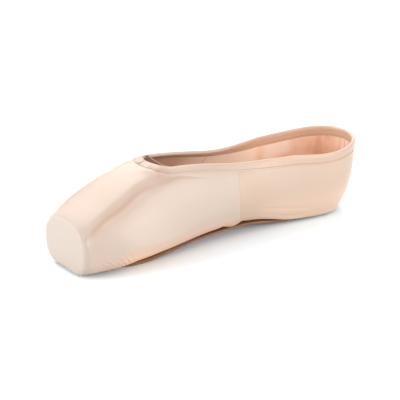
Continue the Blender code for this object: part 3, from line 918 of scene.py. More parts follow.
class Recipe:
    """The nodes of one material: its Principled shader, and its base colour so far."""

    def __init__(self, name, colour, **constants):
        self.material = bpy.data.materials.new(name)
        self.material.use_nodes = True
        self.tree = self.material.node_tree
        self.shader = self.tree.nodes["Principled BSDF"]
        self.colour = colour
        self.base = None
        for key, value in constants.items():
            self.shader.inputs[key.replace("_", " ")].default_value = value

    def node(self, kind, settings=None, values=None, output=0):
        """A node of this kind with its settings, and with its sockets linked or set."""
        made = self.tree.nodes.new(kind)
        for key, value in (settings or {}).items():
            setattr(made, key, value)
        for key, value in (values or {}).items():
            self.join(value, made.inputs[key])
        return Shade(self, made.outputs[output])

    def join(self, value, socket):
        """Links a Shade to the socket, or sets it to a plain value."""
        if isinstance(value, Shade):
            self.tree.links.new(value.socket, socket)
        else:
            socket.default_value = value

    def place(self, output):
        """The place on the surface, in metres: Object in the shoe's frame, or UV."""
        return self.node("ShaderNodeTexCoord", output=output)

    def attribute(self, name):
        """A number that the mesh keeps at each point."""
        return self.node("ShaderNodeAttribute", {"attribute_name": name}, output=2)

    def parts(self, vector):
        """The vector's three numbers."""
        first = self.node("ShaderNodeSeparateXYZ", {}, {0: vector})
        return [Shade(self, socket) for socket in first.socket.node.outputs]

    def scaled(self, vector, by):
        """The vector, multiplied by three numbers."""
        return self.node("ShaderNodeVectorMath", {"operation": "MULTIPLY"}, {0: vector, 1: by})

    def noise(self, vector, scale, detail=2.0, roughness=0.5):
        """Noise with this many features to the metre, the same all ways or one for each."""
        vector = self.scaled(vector, np.broadcast_to(scale, 3).tolist())
        values = {"Vector": vector, "Scale": 1.0, "Detail": detail, "Roughness": roughness}
        return self.node("ShaderNodeTexNoise", {}, values)

    def mix(self, factor, first, second):
        """first where factor is 0 and second where it is 1, both colours."""
        values = {0: factor, 6: first, 7: second}
        return self.node("ShaderNodeMix", {"data_type": "RGBA"}, values, output=2)

    def paint(self, factor, first, second):
        """Starts the base colour, between two shades of the material's own colour."""
        self.base = self.mix(factor, rgba(self.colour, first), rgba(self.colour, second))

    def tint(self, factor, by, colour=None):
        """Moves the base colour towards a shade of the material's colour or another."""
        colour = self.colour if colour is None else colour
        self.base = self.mix(factor, self.base, rgba(colour, by))

    def finish(self, roughness, height, depth, **links):
        """Links the base colour, the roughness, a bump this deep, and what else is given."""
        bump = {"Height": height, "Distance": depth, "Strength": 1.0}
        links["Base_Color"] = self.base
        links["Roughness"] = roughness
        links["Normal"] = self.node("ShaderNodeBump", {}, bump)
        for key, value in links.items():
            self.join(value, self.shader.inputs[key.replace("_", " ")])
        return self.material


def rgba(colour, by=1.0):
    """The colour, each part multiplied by a number or by its own, with full alpha."""
    return (*(np.clip(np.array(colour) * by, 0, 1)), 1.0)


def satin(name, colour, pitch, seams=False, casing=None):
    """Duchess satin: long glossy floats along the shoe, with slubs and soft mottling.

    Height is a sine of the place across the floats plus noise stretched along them. With
    seams it also shows the cover's seams, and painted shade in its creases, on the quarter
    and on the vamp's far side, painted bounce light low down and painted sheen on the
    platform. With casing, which is the lining's colour, it shows the binding's inner side in
    the lining's colour under painted shade, painted shade at the throat and in the
    drawstring's slit, warmer painted shade towards the heel and a painted highlight on the
    near rim.
    """
    make = Recipe(
        name, colour, Specular_IOR_Level=1.0, IOR=1.55,
        Coat_Weight=SATIN_COAT, Coat_IOR=1.8, Coat_Roughness=0.42,
    )
    uv, at = make.place("UV"), make.place("Object")
    x, y, z = make.parts(at)
    threads = (make.parts(uv)[1] * (2 * math.pi / pitch)).sine()
    floats = make.noise(uv, (330, 2600, 1))
    slubs = make.noise(uv, (60, 900, 1), 3)
    mottle = make.noise(at, (28, 34, 30), 3)
    height = 0.35 * threads + 1.4 * floats + 0.8 * slubs
    tone = 0.6 * (mottle - 0.5) + 0.3 * (slubs - 0.5) + 0.5
    make.paint(tone.over(0.2, 0.8), (0.965, 0.945, 0.93), (1.02, 1.03, 1.04))
    rough = 0.36 + 0.16 * (slubs - 0.5) + 0.10 * (mottle - 0.5)
    coat = SATIN_COAT
    if seams:
        seam, crease = make.attribute("seam"), make.attribute("crease")
        # Painted shade: past the side seam the quarter is warmer and darker, for its weaker sheen,
        # and it is rougher too
        quarter = 1 - seam.over(-0.0006, 0.0006)
        make.tint(0.9 * quarter, (1.0, 0.885, 0.785))
        # Far from the back seam's line once it is off the heel's back
        from_back_seam = abs(y) + 0.02 * x.over(-0.108, -0.10)
        stitched = seam.near(0.00025, 0.0008) + from_back_seam.near(0.0002, 0.0007)
        make.tint(0.2 * stitched, (0.72, 0.60, 0.52))
        # Painted shade in the creases, behind the platform's edge and among the throat's gathers
        make.tint(crease, (0.86, 0.74, 0.66))
        # Painted bounce light: the satin above the sole is lighter and more orange, in blotches
        low = (1 - z.over(0.004, 0.024)) * (1 - 0.75 * x.over(0.078, 0.102))
        low = low * (0.12 + 0.88 * x.over(-0.025, 0.005))
        make.tint(low * (0.6 + 0.4 * make.noise(at, 160, 4)), (2.0, 1.46, 1.08))
        # Painted bounce light on the heel's lower side
        heel_painted_bounce = (1 - z.over(0.006, 0.032)) * (1 - x.over(-0.035, -0.010))
        make.tint(0.8 * heel_painted_bounce, (1.38, 1.26, 1.16))
        # Painted shade on the far side of the vamp, which also loses its coat
        far_shade = (0 - y).over(0.006, 0.022) * x.over(0.045, 0.075)
        make.tint(0.7 * far_shade, (0.82, 0.68, 0.56))
        # Painted sheen: the platform is whiter and cooler, and has less coat
        platform_sheen = x.over(0.1085, 0.1175)
        make.tint(platform_sheen, (0.97, 1.03, 1.09))
        coat = SATIN_COAT * (1 - far_shade) * (1 - 0.85 * platform_sheen)
        rough = rough + 0.07 * quarter + 0.08 * crease
        height = height - 1.5 * stitched
    if casing:
        inside = make.attribute("inside")
        lined = inside.over(0, 1)
        # Painted shade towards the throat, where the binding gathers
        make.tint(0.8 * x.over(0.034, 0.058), (0.80, 0.69, 0.61))
        # Towards the heel the binding is painted warmer, like the quarter's painted shade
        make.tint(1 - x.over(-0.045, 0.0), (1.02, 0.90, 0.79))
        # Painted highlight on the near side's rim
        rim = (0 - inside).over(0, 1) * y.over(-0.008, 0.008)
        make.tint(0.6 * rim, (1.12, 1.10, 1.08))
        # Painted shade in the slit where the drawstring's ends come out
        slit_shade = x.over(0.0531, 0.0540) * (1 - x.over(0.0578, 0.0584)) * y.near(0.0005, 0.0011)
        make.tint(0.9 * slit_shade, (0.22, 0.15, 0.10))
        # Inside the shoe the binding takes the lining's colour under painted shade, darker towards
        # the throat
        shades = rgba(casing, (0.68, 0.60, 0.52)), rgba(casing, (0.50, 0.40, 0.34))
        make.base = make.mix(0.95 * lined, make.base, make.mix(x.over(-0.010, 0.045), *shades))
        rough = rough + 0.3 * lined
    return make.finish(rough, height, 0.00006, Coat_Weight=coat)


def canvas(name, colour):
    """Plain-weave cotton: two crossed sines, thread for thread, with slubs and lighter patches."""
    make = Recipe(
        name, colour, Sheen_Weight=0.2, Sheen_Roughness=0.6, Specular_IOR_Level=0.25
    )
    uv, at = make.place("UV"), make.place("Object")
    u, v, _ = make.parts(uv)
    x, y, z = make.parts(at)
    weave = (u * (2 * math.pi / CANVAS_PITCH)).sine() * (v * (2 * math.pi / CANVAS_PITCH)).sine()
    slub = make.noise(uv, 900, 3)
    make.paint(make.noise(at, 55, 4).over(0.35, 0.7), (1.0, 0.99, 0.95), (0.90, 0.77, 0.66))
    # Lighter, paler patches inside the heel's upper part and along the waist
    lighter = x.over(-0.092, -0.084) * (1 - x.over(-0.068, -0.056)) * z.over(0.030, 0.036)
    make.tint(0.75 * lighter, (1.05, 1.28, 1.5))
    waist = x.over(-0.060, -0.050) * (1 - x.over(-0.010, 0.020))
    make.tint(0.7 * waist, (1.05, 1.32, 1.45))
    # Painted shade deeper in the shoe, towards the box
    make.tint(0.8 * x.over(-0.010, 0.040), (0.55, 0.45, 0.40))
    # The wrinkles' darker streaks are painted shade in their folds
    wrinkle = make.noise(at, (150, 150, 22), 3) * (1 - x.over(-0.106, -0.088))
    make.tint(0.8 * wrinkle.over(0.46, 0.60), (0.86, 0.68, 0.56))
    # A tape covers each seam, with the stitching in its middle
    seam = make.attribute("seam")
    from_back_seam = abs(y) + 0.02 * x.over(-0.108, -0.09)
    tape = from_back_seam.near(0.0046, 0.0050) + seam.near(0.0046, 0.0050)
    line = from_back_seam.near(0.0002, 0.0006) + seam.near(0.0002, 0.0006)
    make.tint(0.5 * tape, (1.05, 1.1, 1.15))
    make.tint(0.5 * line, (0.6, 0.5, 0.45))
    make.tint(0.25 * weave.over(-0.6, 0.9), (0.86, 0.8, 0.75))
    height = 0.5 * weave + 0.6 * slub + 2.0 * tape - 2.0 * line + 5.0 * wrinkle
    return make.finish(0.8 + 0.1 * slub, height, 0.00012)


def twisted(name, colour, pitch):
    """Thread or elastic: slanting strands, the sine of the place along plus that round."""
    make = Recipe(name, colour, Sheen_Weight=0.2, Specular_IOR_Level=0.4)
    u, v, _ = make.parts(make.place("UV"))
    strand = (u * (2 * math.pi / pitch) + v * (4 * math.pi)).sine()
    fray = make.noise(make.place("Object"), 1500, 3)
    make.paint(strand.over(-1, 1), 0.78, 1.08)
    return make.finish(0.55 + 0.2 * fray, strand + 0.5 * fray, 0.0001)


def leather(name, colour, edge_shadow):
    """Buffed sole leather: cracked grain from cell edges, pores, scuffs along the shoe, and
    a painted shadow along its upper edge, where the satin meets it.
    """
    make = Recipe(name, colour, Specular_IOR_Level=0.2)
    at = make.place("Object")
    grain = make.node(
        "ShaderNodeTexVoronoi", {"feature": "DISTANCE_TO_EDGE"},
        {"Vector": make.scaled(at, (900, 1100, 900)), "Scale": 1.0},
    )
    pores = make.noise(at, 2600)
    cloud = make.noise(at, 45, 4)
    scuff = make.noise(at, (60, 700, 300), 5, 0.7)
    make.paint(cloud.over(0.3, 0.7), 0.82, 1.18)
    make.tint(0.5 * scuff.over(0.52, 0.72), (1.6, 1.65, 1.7))
    make.tint(0.35 * (1 - grain.over(0.0, 0.12)), 0.6)
    behind_ball = 1 - 0.6 * make.parts(at)[0].over(0.015, 0.045)
    # Painted shadow of the satin on the sole's upper edge, fainter ahead of the ball
    make.tint(make.attribute("level").over(0.35, 0.60) * behind_ball, 1.0, edge_shadow)
    height = grain.over(0.0, 0.2) + 0.4 * pores + 0.3 * scuff
    return make.finish(0.52 + 0.22 * cloud + 0.1 * scuff, height, 0.00012)


def sock_board(name, colour):
    """Brushed cotton over the insole board: fine fibres, pressed marks and a darker wear."""
    make = Recipe(
        name, colour, Sheen_Weight=0.25, Sheen_Roughness=0.7, Specular_IOR_Level=0.2
    )
    at = make.place("Object")
    fibre = make.noise(at, (700, 2200, 700), 4, 0.65)
    make.paint(make.noise(at, 38, 3).over(0.35, 0.7), 1.0, (0.9, 0.84, 0.78))
    make.tint(0.3 * fibre.over(0.4, 0.7), (0.8, 0.72, 0.66))
    return make.finish(0.82 + 0.1 * fibre, fibre, 0.0002)


def floor_paint(name, colour):
    """Matt painted board: a trace of mottling and roller texture."""
    make = Recipe(name, colour, Specular_IOR_Level=0.15)
    at = make.place("Object")
    make.paint(make.noise(at, 3), 1.0, 0.995)
    return make.finish(0.9 + 0.05 * make.noise(at, 40), make.noise(at, 900), 0.00002)


# ---------------------------------------------------------------------------
# Settings and operators
# ---------------------------------------------------------------------------


def colour_setting(name, default, description):
    """A colour that the panel lists."""
    return FloatVectorProperty(
        name=name, description=description, default=default, subtype="COLOR", min=0, max=1
    )


def size_setting(name, default, description):
    """A length that the panel lists."""
    return FloatProperty(name=name, description=description, default=default, unit="LENGTH", min=0)


class ShoeColours(bpy.types.PropertyGroup):
    """Colours of the shoe's cloth, thread and leather."""

    satin: colour_setting("Satin", (0.445, 0.33, 0.258), "Colour of the satin cover")
    binding: colour_setting("Binding", (0.445, 0.31, 0.23), "Colour of the collar's binding")
    lining: colour_setting("Lining", (0.82, 0.56, 0.43), "Colour of the canvas lining")
    thread: colour_setting("Thread", (0.48, 0.34, 0.26), "Colour of the sewing thread")
    elastic: colour_setting("Elastic", (0.28, 0.15, 0.09), "Colour of the drawstring")
    leather: colour_setting("Leather", (0.25, 0.125, 0.072), "Colour of the outsole")
    # Colour of the painted shadow on the outsole's upper edge
    edge_shadow: colour_setting("Edge shadow", (0.09, 0.025, 0.009), "Colour of the outsole's upper edge")
    insole: colour_setting("Insole", (0.74, 0.52, 0.38), "Colour of the insole")
    floor: colour_setting("Floor", (0.87, 0.945, 0.985), "Colour of the floor")


class ShoeSizes(bpy.types.PropertyGroup):
    """Sizes of the shoe's finish."""

    relief: FloatProperty(
        name="Relief", description="How deep the folds, pleats and gathers are", default=1.0,
        min=0, max=2, subtype="FACTOR",
    )
    float_pitch: size_setting("Float pitch", 0.32 * MM, "Distance between the satin's threads")
    binding_depth: size_setting("Binding depth", 6 * MM, "How far the binding reaches down")
    stitch_reach: size_setting("Stitch reach", 4.7 * MM, "Stitches' distance from the rim")
    stitch_pitch: size_setting("Stitch pitch", 2.5 * MM, "Distance from stitch to stitch")


class BuildStep:
    """What the operators share: their register options and the scene's settings."""

    bl_options = {"REGISTER", "UNDO"}

    @staticmethod
    def settings(context):
        """The scene's colours and sizes for the shoe."""
        return context.scene.shoe_colours, context.scene.shoe_sizes


class SHOE_OT_satin(BuildStep, bpy.types.Operator):
    """Build the satin cover with its valleys, seams, pleats and gathers"""

    bl_idname = "shoe.satin"
    bl_label = "Satin Cover"

    def execute(self, context):
        colours, sizes = self.settings(context)
        grid = half_grid((26, 66, 20, 22, 12, 40), under=10, lower=42, upper=38)
        # crease is the painted shade of the creases, the platform's edge and the throat's gathers
        points, faces, uv, (seam, crease) = upper_halves(grid, sizes.relief, 6, 8)
        whole = both_sides(points, faces, uv)
        obj = add_mesh("satin_cover", *whole, {"seam": seam, "crease": crease})
        weld(obj, 60)
        solidify(obj, SATIN_THICKNESS)
        dress(obj, satin("Satin", colours.satin, sizes.float_pitch, seams=True), "upper")
        return {"FINISHED"}


class SHOE_OT_lining(BuildStep, bpy.types.Operator):
    """Build the canvas lining, the inner layer of the upper's wall"""

    bl_idname = "shoe.lining"
    bl_label = "Lining"

    def execute(self, context):
        colours, sizes = self.settings(context)
        grid = half_grid((18, 36, 14, 10, 8, 16), under=5, lower=18, upper=20)
        points, faces, uv, (seam, _) = upper_halves(grid, sizes.relief, 4, 4)
        depth = SATIN_THICKNESS + LAYER_GAP
        inner = []
        for side, outer in zip(SIDES, points):
            normal = vertex_normals(outer, faces)
            normal[:, 1] = np.where(np.abs(outer[:, 1]) < SMALL, 0, normal[:, 1])
            inner.append(outer - side.sign * depth * unit(normal))
        points, faces, uv = both_sides(inner, faces, uv)
        distance = points[:, 0] + ORIGIN_FROM_HEEL
        wall = wall_at(distance) - depth
        at_platform = distance > EDGE_START + 0.2 * MM
        wall = np.where(at_platform, np.minimum(wall, 1.4 * MM), wall)
        obj = add_mesh("canvas_lining", points, faces, uv, {"seam": seam, "wall": wall})
        weld(obj, 60)
        thickness = np.empty(len(obj.data.vertices), np.float32)
        obj.data.attributes["wall"].data.foreach_get("value", thickness)
        group = obj.vertex_groups.new(name="wall")
        for value in np.unique(thickness):
            same = np.flatnonzero(thickness == value).tolist()
            group.add(same, float(value / BOX_WALL), "REPLACE")
        solidify(obj, BOX_WALL, group.name)
        dress(obj, canvas("Lining canvas", colours.lining), "upper")
        return {"FINISHED"}


# Lines of the binding's profile down one side, and over the rim
FACE_ROWS = 8
RIM_ROWS = 13


def binding_lines(along, depth, stitch, puckers):
    """The binding's closed profile carried along the collar, one line of points for each
    place of the profile: outside from its lower edge to the rim, over it, inside down to
    its other edge, and back along the wall as its underside.
    """
    near = 0.06 * MM
    roll = 0.72 * MM
    below_rim = np.array([2.3, 1.1]) * MM
    reach = np.concatenate([
        depth - np.array([0, 0.15]) * MM, stitch + np.array([0.5, 0, -0.5, -1.3]) * MM, below_rim,
    ])
    height = np.array([0.08, 0.22, 0.32, 0.24, 0.38, 0.50, 0.62]) * MM
    run = collar_run(along)
    flatter = 0.55 + 0.45 * ramp(run, run[-1] - 100 * MM, run[-1] - 50 * MM)
    height = [near + (h - near) * flatter for h in height] + [roll]
    swell = np.array([0.3, 0.8, 1.0, 0.3, 1.0, 0.8, 0.5, 0.2])[:, None] * puckers
    over = np.linspace(0, 180, RIM_ROWS)
    face = [(r, h + s) for r, h, s in zip(reach, height, swell)]
    lines = [around_rim(along, r, h) for r, h in face]
    lines += [around_rim(along, 0, roll, angle) for angle in over]
    lines += [around_rim(along, r, -h) for r, h in face[::-1]]
    lines += [around_rim(along, r, -near) for r in (depth, stitch, 2 * MM)]
    lines += [around_rim(along, 0, near, angle) for angle in over[::-2]]
    lines += [around_rim(along, r, near) for r in (2 * MM, stitch, depth)]
    return np.stack(lines, 1)


class SHOE_OT_binding(BuildStep, bpy.types.Operator):
    """Build the folded satin binding round the collar"""

    bl_idname = "shoe.binding"
    bl_label = "Binding"

    def execute(self, context):
        colours, sizes = self.settings(context)
        along = collar_stations(48, 130, 34)
        run = collar_run(along)
        left = run[-1] - run
        at_throat = ramp(-left, -40 * MM, -8 * MM)
        puckers = np.cos(run / (0.8 * MM) + 1.5 * np.cos(run / (4.1 * MM)))
        puckers *= (0.05 + 0.10 * at_throat) * MM
        # A notch in the middle of the front, where the drawstring's ends come out
        puckers += 0.25 * MM * (bell(left - 1.8 * MM, 0.9 * MM) - 0.9 * bell(left, 0.8 * MM))
        lines = binding_lines(along, sizes.binding_depth, sizes.stitch_reach, puckers)
        uv = np.stack(np.broadcast_arrays(run[:, None], running(lines, 1)), -1)
        # 1 on the profile's lines inside the shoe, which get painted shade, and -1 over the rim,
        # which gets a painted highlight
        inside = np.zeros(lines.shape[1])
        inside[FACE_ROWS + RIM_ROWS - 2:2 * FACE_ROWS + RIM_ROWS] = 1
        inside[FACE_ROWS + 2:FACE_ROWS + RIM_ROWS - 3] = -1
        obj = mirrored("binding", lines, uv, (-1, 1), closed=True, inside=inside)
        weld(obj, 60)
        cloth = satin("Binding satin", colours.binding, sizes.float_pitch, casing=colours.lining)
        dress(obj, cloth, "topline_binding")
        return {"FINISHED"}


# A stitch's half length and radius, and how high its middle stands off the cloth
STITCH_REACH = 0.95 * MM
STITCH_RADIUS = 0.19 * MM
STITCH_HEIGHT = 0.28 * MM


class SHOE_OT_stitches(BuildStep, bpy.types.Operator):
    """Sew the binding down with a row of lockstitches outside and inside"""

    bl_idname = "shoe.stitches"
    bl_label = "Stitches"

    def execute(self, context):
        colours, sizes = self.settings(context)
        fine = collar_stations(60, 160, 60)
        run = collar_run(fine)
        count = int(run[-1] / sizes.stitch_pitch)
        along = np.interp((np.arange(count) + 0.5) * run[-1] / count, run, fine)
        along = np.concatenate([fine[:1], along, fine[-1:]])
        # An ellipsoid: cosine of swing along, sine of swing round
        turn = spaced(0, 2 * math.pi, 8)[None, :]
        swing = np.linspace(0, math.pi, 8)[:, None]
        round_it = STITCH_RADIUS * np.sin(swing)
        body = [STITCH_REACH * np.cos(swing), round_it * np.cos(turn), round_it * np.sin(turn)]
        body = np.stack(np.broadcast_arrays(*body), -1)
        rows = []
        for outside in (STITCH_HEIGHT, -STITCH_HEIGHT):
            line = around_rim(along, sizes.stitch_reach, outside)
            further = around_rim(along, sizes.stitch_reach, 1.6 * outside)
            forward = unit(np.gradient(line, axis=0))
            out = unit(further - line)
            axes = np.stack([forward, np.cross(forward, out), out], 1)
            rows.append((line[:, None, None] + body @ axes[:, None])[1:-1])
        stitch = np.concatenate(rows)
        stitch = np.concatenate([stitch, stitch * (1, -1, 1)])
        number, length = len(stitch), body[..., 0].size
        one = grid_faces(*body.shape[:2], closed=True)
        faces = (one + np.arange(number)[:, None, None] * length).reshape(-1, 4)
        uv = np.broadcast_arrays(swing / math.pi * 2 * MM, turn / (2 * math.pi))
        uv = np.tile(np.stack(uv, -1).reshape(-1, 2), (number, 1))
        obj = add_mesh("binding_stitches", stitch.reshape(-1, 3), [faces], [uv[faces]])
        weld(obj, 80, turn_out=True)
        dress(obj, twisted("Thread", colours.thread, 0.4 * MM))
        return {"FINISHED"}


def tube(path, radius, sides):
    """A round tube: each point of the path plus its radius times the cosine and the sine
    of the turn along the path's two side directions, closed at both ends by a dome.
    """
    forward = unit(np.gradient(path, axis=0))
    side = unit(np.cross(forward, np.array([0.0, 0.0, 1.0])))
    up = np.cross(side, forward)
    turn = spaced(0, 2 * math.pi, sides)[:, None]
    dome = spaced(0, math.pi / 2, 4)
    grow = np.concatenate([np.sin(dome), np.ones(len(path)), np.sin(dome)[::-1]])
    shift = np.concatenate([-np.cos(dome), np.zeros(len(path)), np.cos(dome)[::-1]])
    pick = np.clip(np.arange(len(grow)) - len(dome), 0, len(path) - 1)
    centre = path[pick] + radius * shift[:, None] * forward[pick]
    ring = np.cos(turn) * side[pick, None] + np.sin(turn) * up[pick, None]
    uv = np.stack(np.broadcast_arrays(running(centre)[:, None], turn.T / (2 * math.pi)), -1)
    return centre[:, None] + radius * grow[:, None, None] * ring, uv


# How far the drawstring goes into the casing, hangs in its middle and sways
DRAWSTRING_END = 0.9 * MM
DRAWSTRING_SAG = 0.9 * MM
DRAWSTRING_SWAY = 0.35 * MM


class SHOE_OT_drawstring(BuildStep, bpy.types.Operator):
    """Stretch the elastic drawstring across the opening behind the throat"""

    bl_idname = "shoe.drawstring"
    bl_label = "Drawstring"

    def execute(self, context):
        colours, _ = self.settings(context)
        low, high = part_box("drawstring")
        middle = (low + high) / 2
        half = high.y + DRAWSTRING_END
        across = np.linspace(-half, half, 61)
        x = middle.x + DRAWSTRING_SWAY * np.sin(across / (6 * MM))
        z = middle.z - DRAWSTRING_SAG * (1 - (across / half) ** 2)
        path = np.stack([x, across, z], 1)
        points, uv = tube(path, DRAWSTRING_DIAMETER / 2, 20)
        obj = add_grid("elastic_drawstring", points, uv, closed=True)
        weld(obj, 80, turn_out=True)
        dress(obj, twisted("Elastic", colours.elastic, 1.1 * MM), "drawstring")
        return {"FINISHED"}


def half_outline(start, end, widths, heel_rounding, toe_rounding, steps):
    """A flat piece's half outline from its heel tip to its toe tip: distance from the
    heel's back and half width, with quarter circle ends.
    """
    turn = np.linspace(0, math.pi / 2, steps)
    heel = start + heel_rounding * (1 - np.cos(turn))
    toe = end - toe_rounding * (1 - np.cos(turn))
    between = np.linspace(heel[-1], toe[-1], 4 * steps)[1:-1]
    distance = np.concatenate([heel, between, toe[::-1]])
    rounding = np.concatenate([np.sin(turn), np.ones_like(between), np.sin(turn)[::-1]])
    return distance, widths(distance) * rounding


def add_board(name, distance, half, heights, profile):
    """A flat piece built on its half outline, both sides as one closed mesh.

    profile holds rows of (inset, level, shift): each row is the outline moved inwards by
    the inset, at the underside for level 0 or the upper face for level 1, plus the shift
    in height, with insets and shifts in millimetres. An inset of None is the middle line.
    """
    step = np.stack([np.gradient(distance), np.gradient(half)], 1)
    step[0], step[-1] = (0, 1), (0, -1)
    normal = unit(np.stack([-step[:, 1], step[:, 0]], 1))
    ends = BOARD_MIDDLE_INSET * np.array([1, -1]) + distance[[0, -1]]
    rows = []
    for inset, level, shift in profile:
        if inset is None:
            x, y = np.clip(distance, *ends), np.zeros_like(half)
        else:
            x = distance - inset * MM * normal[:, 0]
            y = np.maximum(half - inset * MM * normal[:, 1], 0)
            y[[0, -1]] = 0
        low, high = heights(x)
        z = low + level * (high - low) + shift * MM
        rows.append(np.stack([x - ORIGIN_FROM_HEEL, y, z], 1))
    lines = np.stack(rows, 1)
    level = np.array([row[1] for row in profile], float)
    obj = mirrored(name, lines, lines[..., :2], (1, -1), closed=False, level=level)
    weld(obj, 40, turn_out=True)
    return obj


class SHOE_OT_outsole(BuildStep, bpy.types.Operator):
    """Cut the leather outsole with its rounded edge and pressed channel"""

    bl_idname = "shoe.outsole"
    bl_label = "Outsole"

    def execute(self, context):
        colours, _ = self.settings(context)
        outline = half_outline(
            OUTSOLE_HEEL_MARGIN, LENGTH - OUTSOLE_TOE_MARGIN,
            lambda distance: smooth_through(OUTSOLE, "half", distance),
            OUTSOLE_HEEL_ROUNDING, OUTSOLE_TOE_ROUNDING, 24,
        )

        def heights(where):
            """The outsole's underside and upper face, which follows the upper's lift."""
            top = column_at("lift", np.minimum(where, BALL_FLAT_END)) - GAP
            return top - OUTSOLE_THICKNESS, top

        turn = np.linspace(0, math.pi / 2, 5)
        edge = [(0.8 * (1 - math.sin(t)), 0, 0.8 * (1 - math.cos(t))) for t in turn]
        obj = add_board("leather_outsole", *outline, heights, [
            (None, 0, 0), (5.4, 0, 0), (4.1, 0, 0), (3.7, 0, 0.32), (3.3, 0, 0.32), (2.9, 0, 0),
            (1.8, 0, 0), *edge, (0.0, 1, -0.45), (0.12, 1, -0.12), (0.45, 1, 0), (2, 1, 0),
            (5.4, 1, 0), (None, 1, 0),
        ])
        hide = leather("Sole leather", colours.leather, colours.edge_shadow)
        dress(obj, hide, "outsole")
        return {"FINISHED"}


class SHOE_OT_insole(BuildStep, bpy.types.Operator):
    """Lay the brushed insole board inside"""

    bl_idname = "shoe.insole"
    bl_label = "Insole"

    def execute(self, context):
        colours, _ = self.settings(context)
        outline = half_outline(
            HEEL_CENTRE - HEEL_BACK["foot"], LENGTH - INSOLE_TOE_MARGIN,
            lambda distance: column_at("foot", distance),
            HEEL_BACK["foot"], INSOLE_TOE_ROUNDING, 20,
        )

        def heights(where):
            """The insole's underside, on the folded margin, and its upper face."""
            low = column_at("lift", where) + wall_at(where) + GAP
            return low, low + INSOLE_THICKNESS

        obj = add_board("insole_sock", *outline, heights, [
            (None, 0, 0), (5.4, 0, 0), (0.3, 0, 0), (0.0, 0, 0.2), (-0.8, 1, -0.5),
            (-0.9, 1, -0.15), (-0.5, 1, 0), (2, 1, 0), (5.4, 1, 0), (None, 1, 0),
        ])
        dress(obj, sock_board("Insole", colours.insole), "insole")
        return {"FINISHED"}


# Half the floor's width, and how far it lies below the shoe
FLOOR_HALF_WIDTH = 3.0
FLOOR_DROP = 0.1 * MM
LIGHTS_AIM = Vector((0, 0, 0.03))
# Name, direction from the shoe, distance, width and height, power, and colour
SOFTBOXES = (
    ("Back softbox", (-0.27, -0.77, 0.75), 1.8, (1.5, 0.9), 20, (1.0, 0.985, 0.96)),
    ("Front softbox", (-0.34, 0.86, 0.30), 1.8, (1.4, 0.9), 17, (1.0, 0.98, 0.96)),
    ("Toe softbox", (0.95, -0.30, 0.35), 1.7, (1.1, 0.9), 18, (1.0, 0.99, 0.97)),
)
# The camera's azimuth, elevation and roll in degrees, its distance from the place that it
# looks at, how far that place is moved to its left, and its lens in millimetres
CAMERA_ANGLES = (146.21, 21.66, -0.21)
CAMERA_AIM = Vector((0.0022, 0, 0.025))
CAMERA_DISTANCE = 1.76
CAMERA_SHIFT = 5.3 * MM
CAMERA_LENS = 227.7


def add_softbox(name, towards, distance, size, power, colour):
    """A square area light in that direction from the shoe's middle, facing it."""
    light = bpy.data.lights.new(name, "AREA")
    light.shape = "RECTANGLE"
    light.size, light.size_y = size
    light.energy = power
    light.color = colour
    obj = bpy.data.objects.new(name, light)
    bpy.context.scene.collection.objects.link(obj)
    direction = Vector(towards).normalized()
    obj.location = LIGHTS_AIM + distance * direction
    obj.rotation_mode = "QUATERNION"
    obj.rotation_quaternion = direction.to_track_quat("Z", "Y")


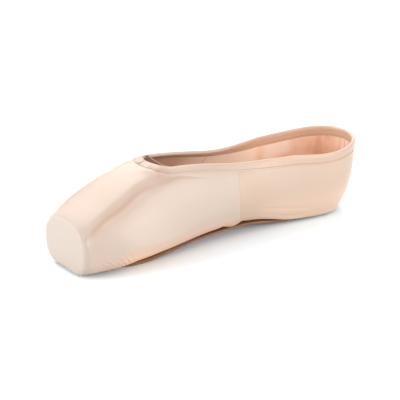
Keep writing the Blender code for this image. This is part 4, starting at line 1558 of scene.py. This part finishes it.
class SHOE_OT_stage(BuildStep, bpy.types.Operator):
    """Set the floor, the studio light and the camera"""

    bl_idname = "shoe.stage"
    bl_label = "Stage"

    def execute(self, context):
        colours, _ = self.settings(context)
        side = np.linspace(-FLOOR_HALF_WIDTH, FLOOR_HALF_WIDTH, 13)
        x, y = np.meshgrid(side, side, indexing="ij")
        points = np.stack([x, y, np.full_like(x, -FLOOR_DROP)], -1).reshape(-1, 3)
        floor = add_mesh("floor", points, [np.flip(grid_faces(13, 13), axis=1)])
        floor.data.materials.append(floor_paint("Floor paint", colours.floor))

        world = bpy.data.worlds.new("Studio")
        world.use_nodes = True
        background = world.node_tree.nodes["Background"]
        background.inputs["Color"].default_value = (1.0, 0.99, 0.98, 1)
        background.inputs["Strength"].default_value = 1.1
        context.scene.world = world
        context.scene.view_settings.view_transform = "Standard"
        for softbox in SOFTBOXES:
            add_softbox(*softbox)

        azimuth, elevation, roll = (math.radians(a) for a in CAMERA_ANGLES)
        back = Vector((
            math.sin(azimuth) * math.cos(elevation), -math.cos(azimuth) * math.cos(elevation),
            math.sin(elevation),
        ))
        right = Vector((math.cos(azimuth), math.sin(azimuth), 0))
        up = back.cross(right)
        turned_right = math.cos(roll) * right + math.sin(roll) * up
        turned_up = math.cos(roll) * up - math.sin(roll) * right
        camera = bpy.data.cameras.new("Camera")
        camera.sensor_width = 36
        camera.lens = CAMERA_LENS
        camera.clip_start, camera.clip_end = 0.05, 20
        obj = bpy.data.objects.new("Camera", camera)
        context.scene.collection.objects.link(obj)
        look = CAMERA_AIM - CAMERA_SHIFT * turned_right
        axes = Matrix((turned_right, turned_up, back)).transposed().to_4x4()
        obj.matrix_world = Matrix.Translation(look + CAMERA_DISTANCE * back) @ axes
        context.scene.camera = obj
        return {"FINISHED"}


OPERATORS = (
    SHOE_OT_satin, SHOE_OT_lining, SHOE_OT_binding, SHOE_OT_stitches, SHOE_OT_drawstring,
    SHOE_OT_outsole, SHOE_OT_insole, SHOE_OT_stage,
)


class SHOE_PT_looks(bpy.types.Panel):
    """Lists the settings and the steps"""

    bl_idname = "SHOE_PT_looks"
    bl_label = "Pointe Shoe"
    bl_space_type = "VIEW_3D"
    bl_region_type = "UI"
    bl_category = "Pointe Shoe"

    def draw(self, context):
        for group in (context.scene.shoe_sizes, context.scene.shoe_colours):
            column = self.layout.column()
            for name in group.__annotations__:
                column.prop(group, name)
        for operator in OPERATORS:
            self.layout.operator(operator.bl_idname)


CLASSES = (ShoeColours, ShoeSizes, *OPERATORS, SHOE_PT_looks)


def register():
    for cls in CLASSES:
        bpy.utils.register_class(cls)
    bpy.types.Scene.shoe_colours = PointerProperty(type=ShoeColours)
    bpy.types.Scene.shoe_sizes = PointerProperty(type=ShoeSizes)


def unregister():
    del bpy.types.Scene.shoe_colours
    del bpy.types.Scene.shoe_sizes
    for cls in reversed(CLASSES):
        bpy.utils.unregister_class(cls)


def main():
    register()
    for step in (
        bpy.ops.shoe.satin, bpy.ops.shoe.lining, bpy.ops.shoe.binding, bpy.ops.shoe.stitches,
        bpy.ops.shoe.drawstring, bpy.ops.shoe.outsole, bpy.ops.shoe.insole, bpy.ops.shoe.stage,
    ):
        step()


if __name__ == "__main__":
    main()
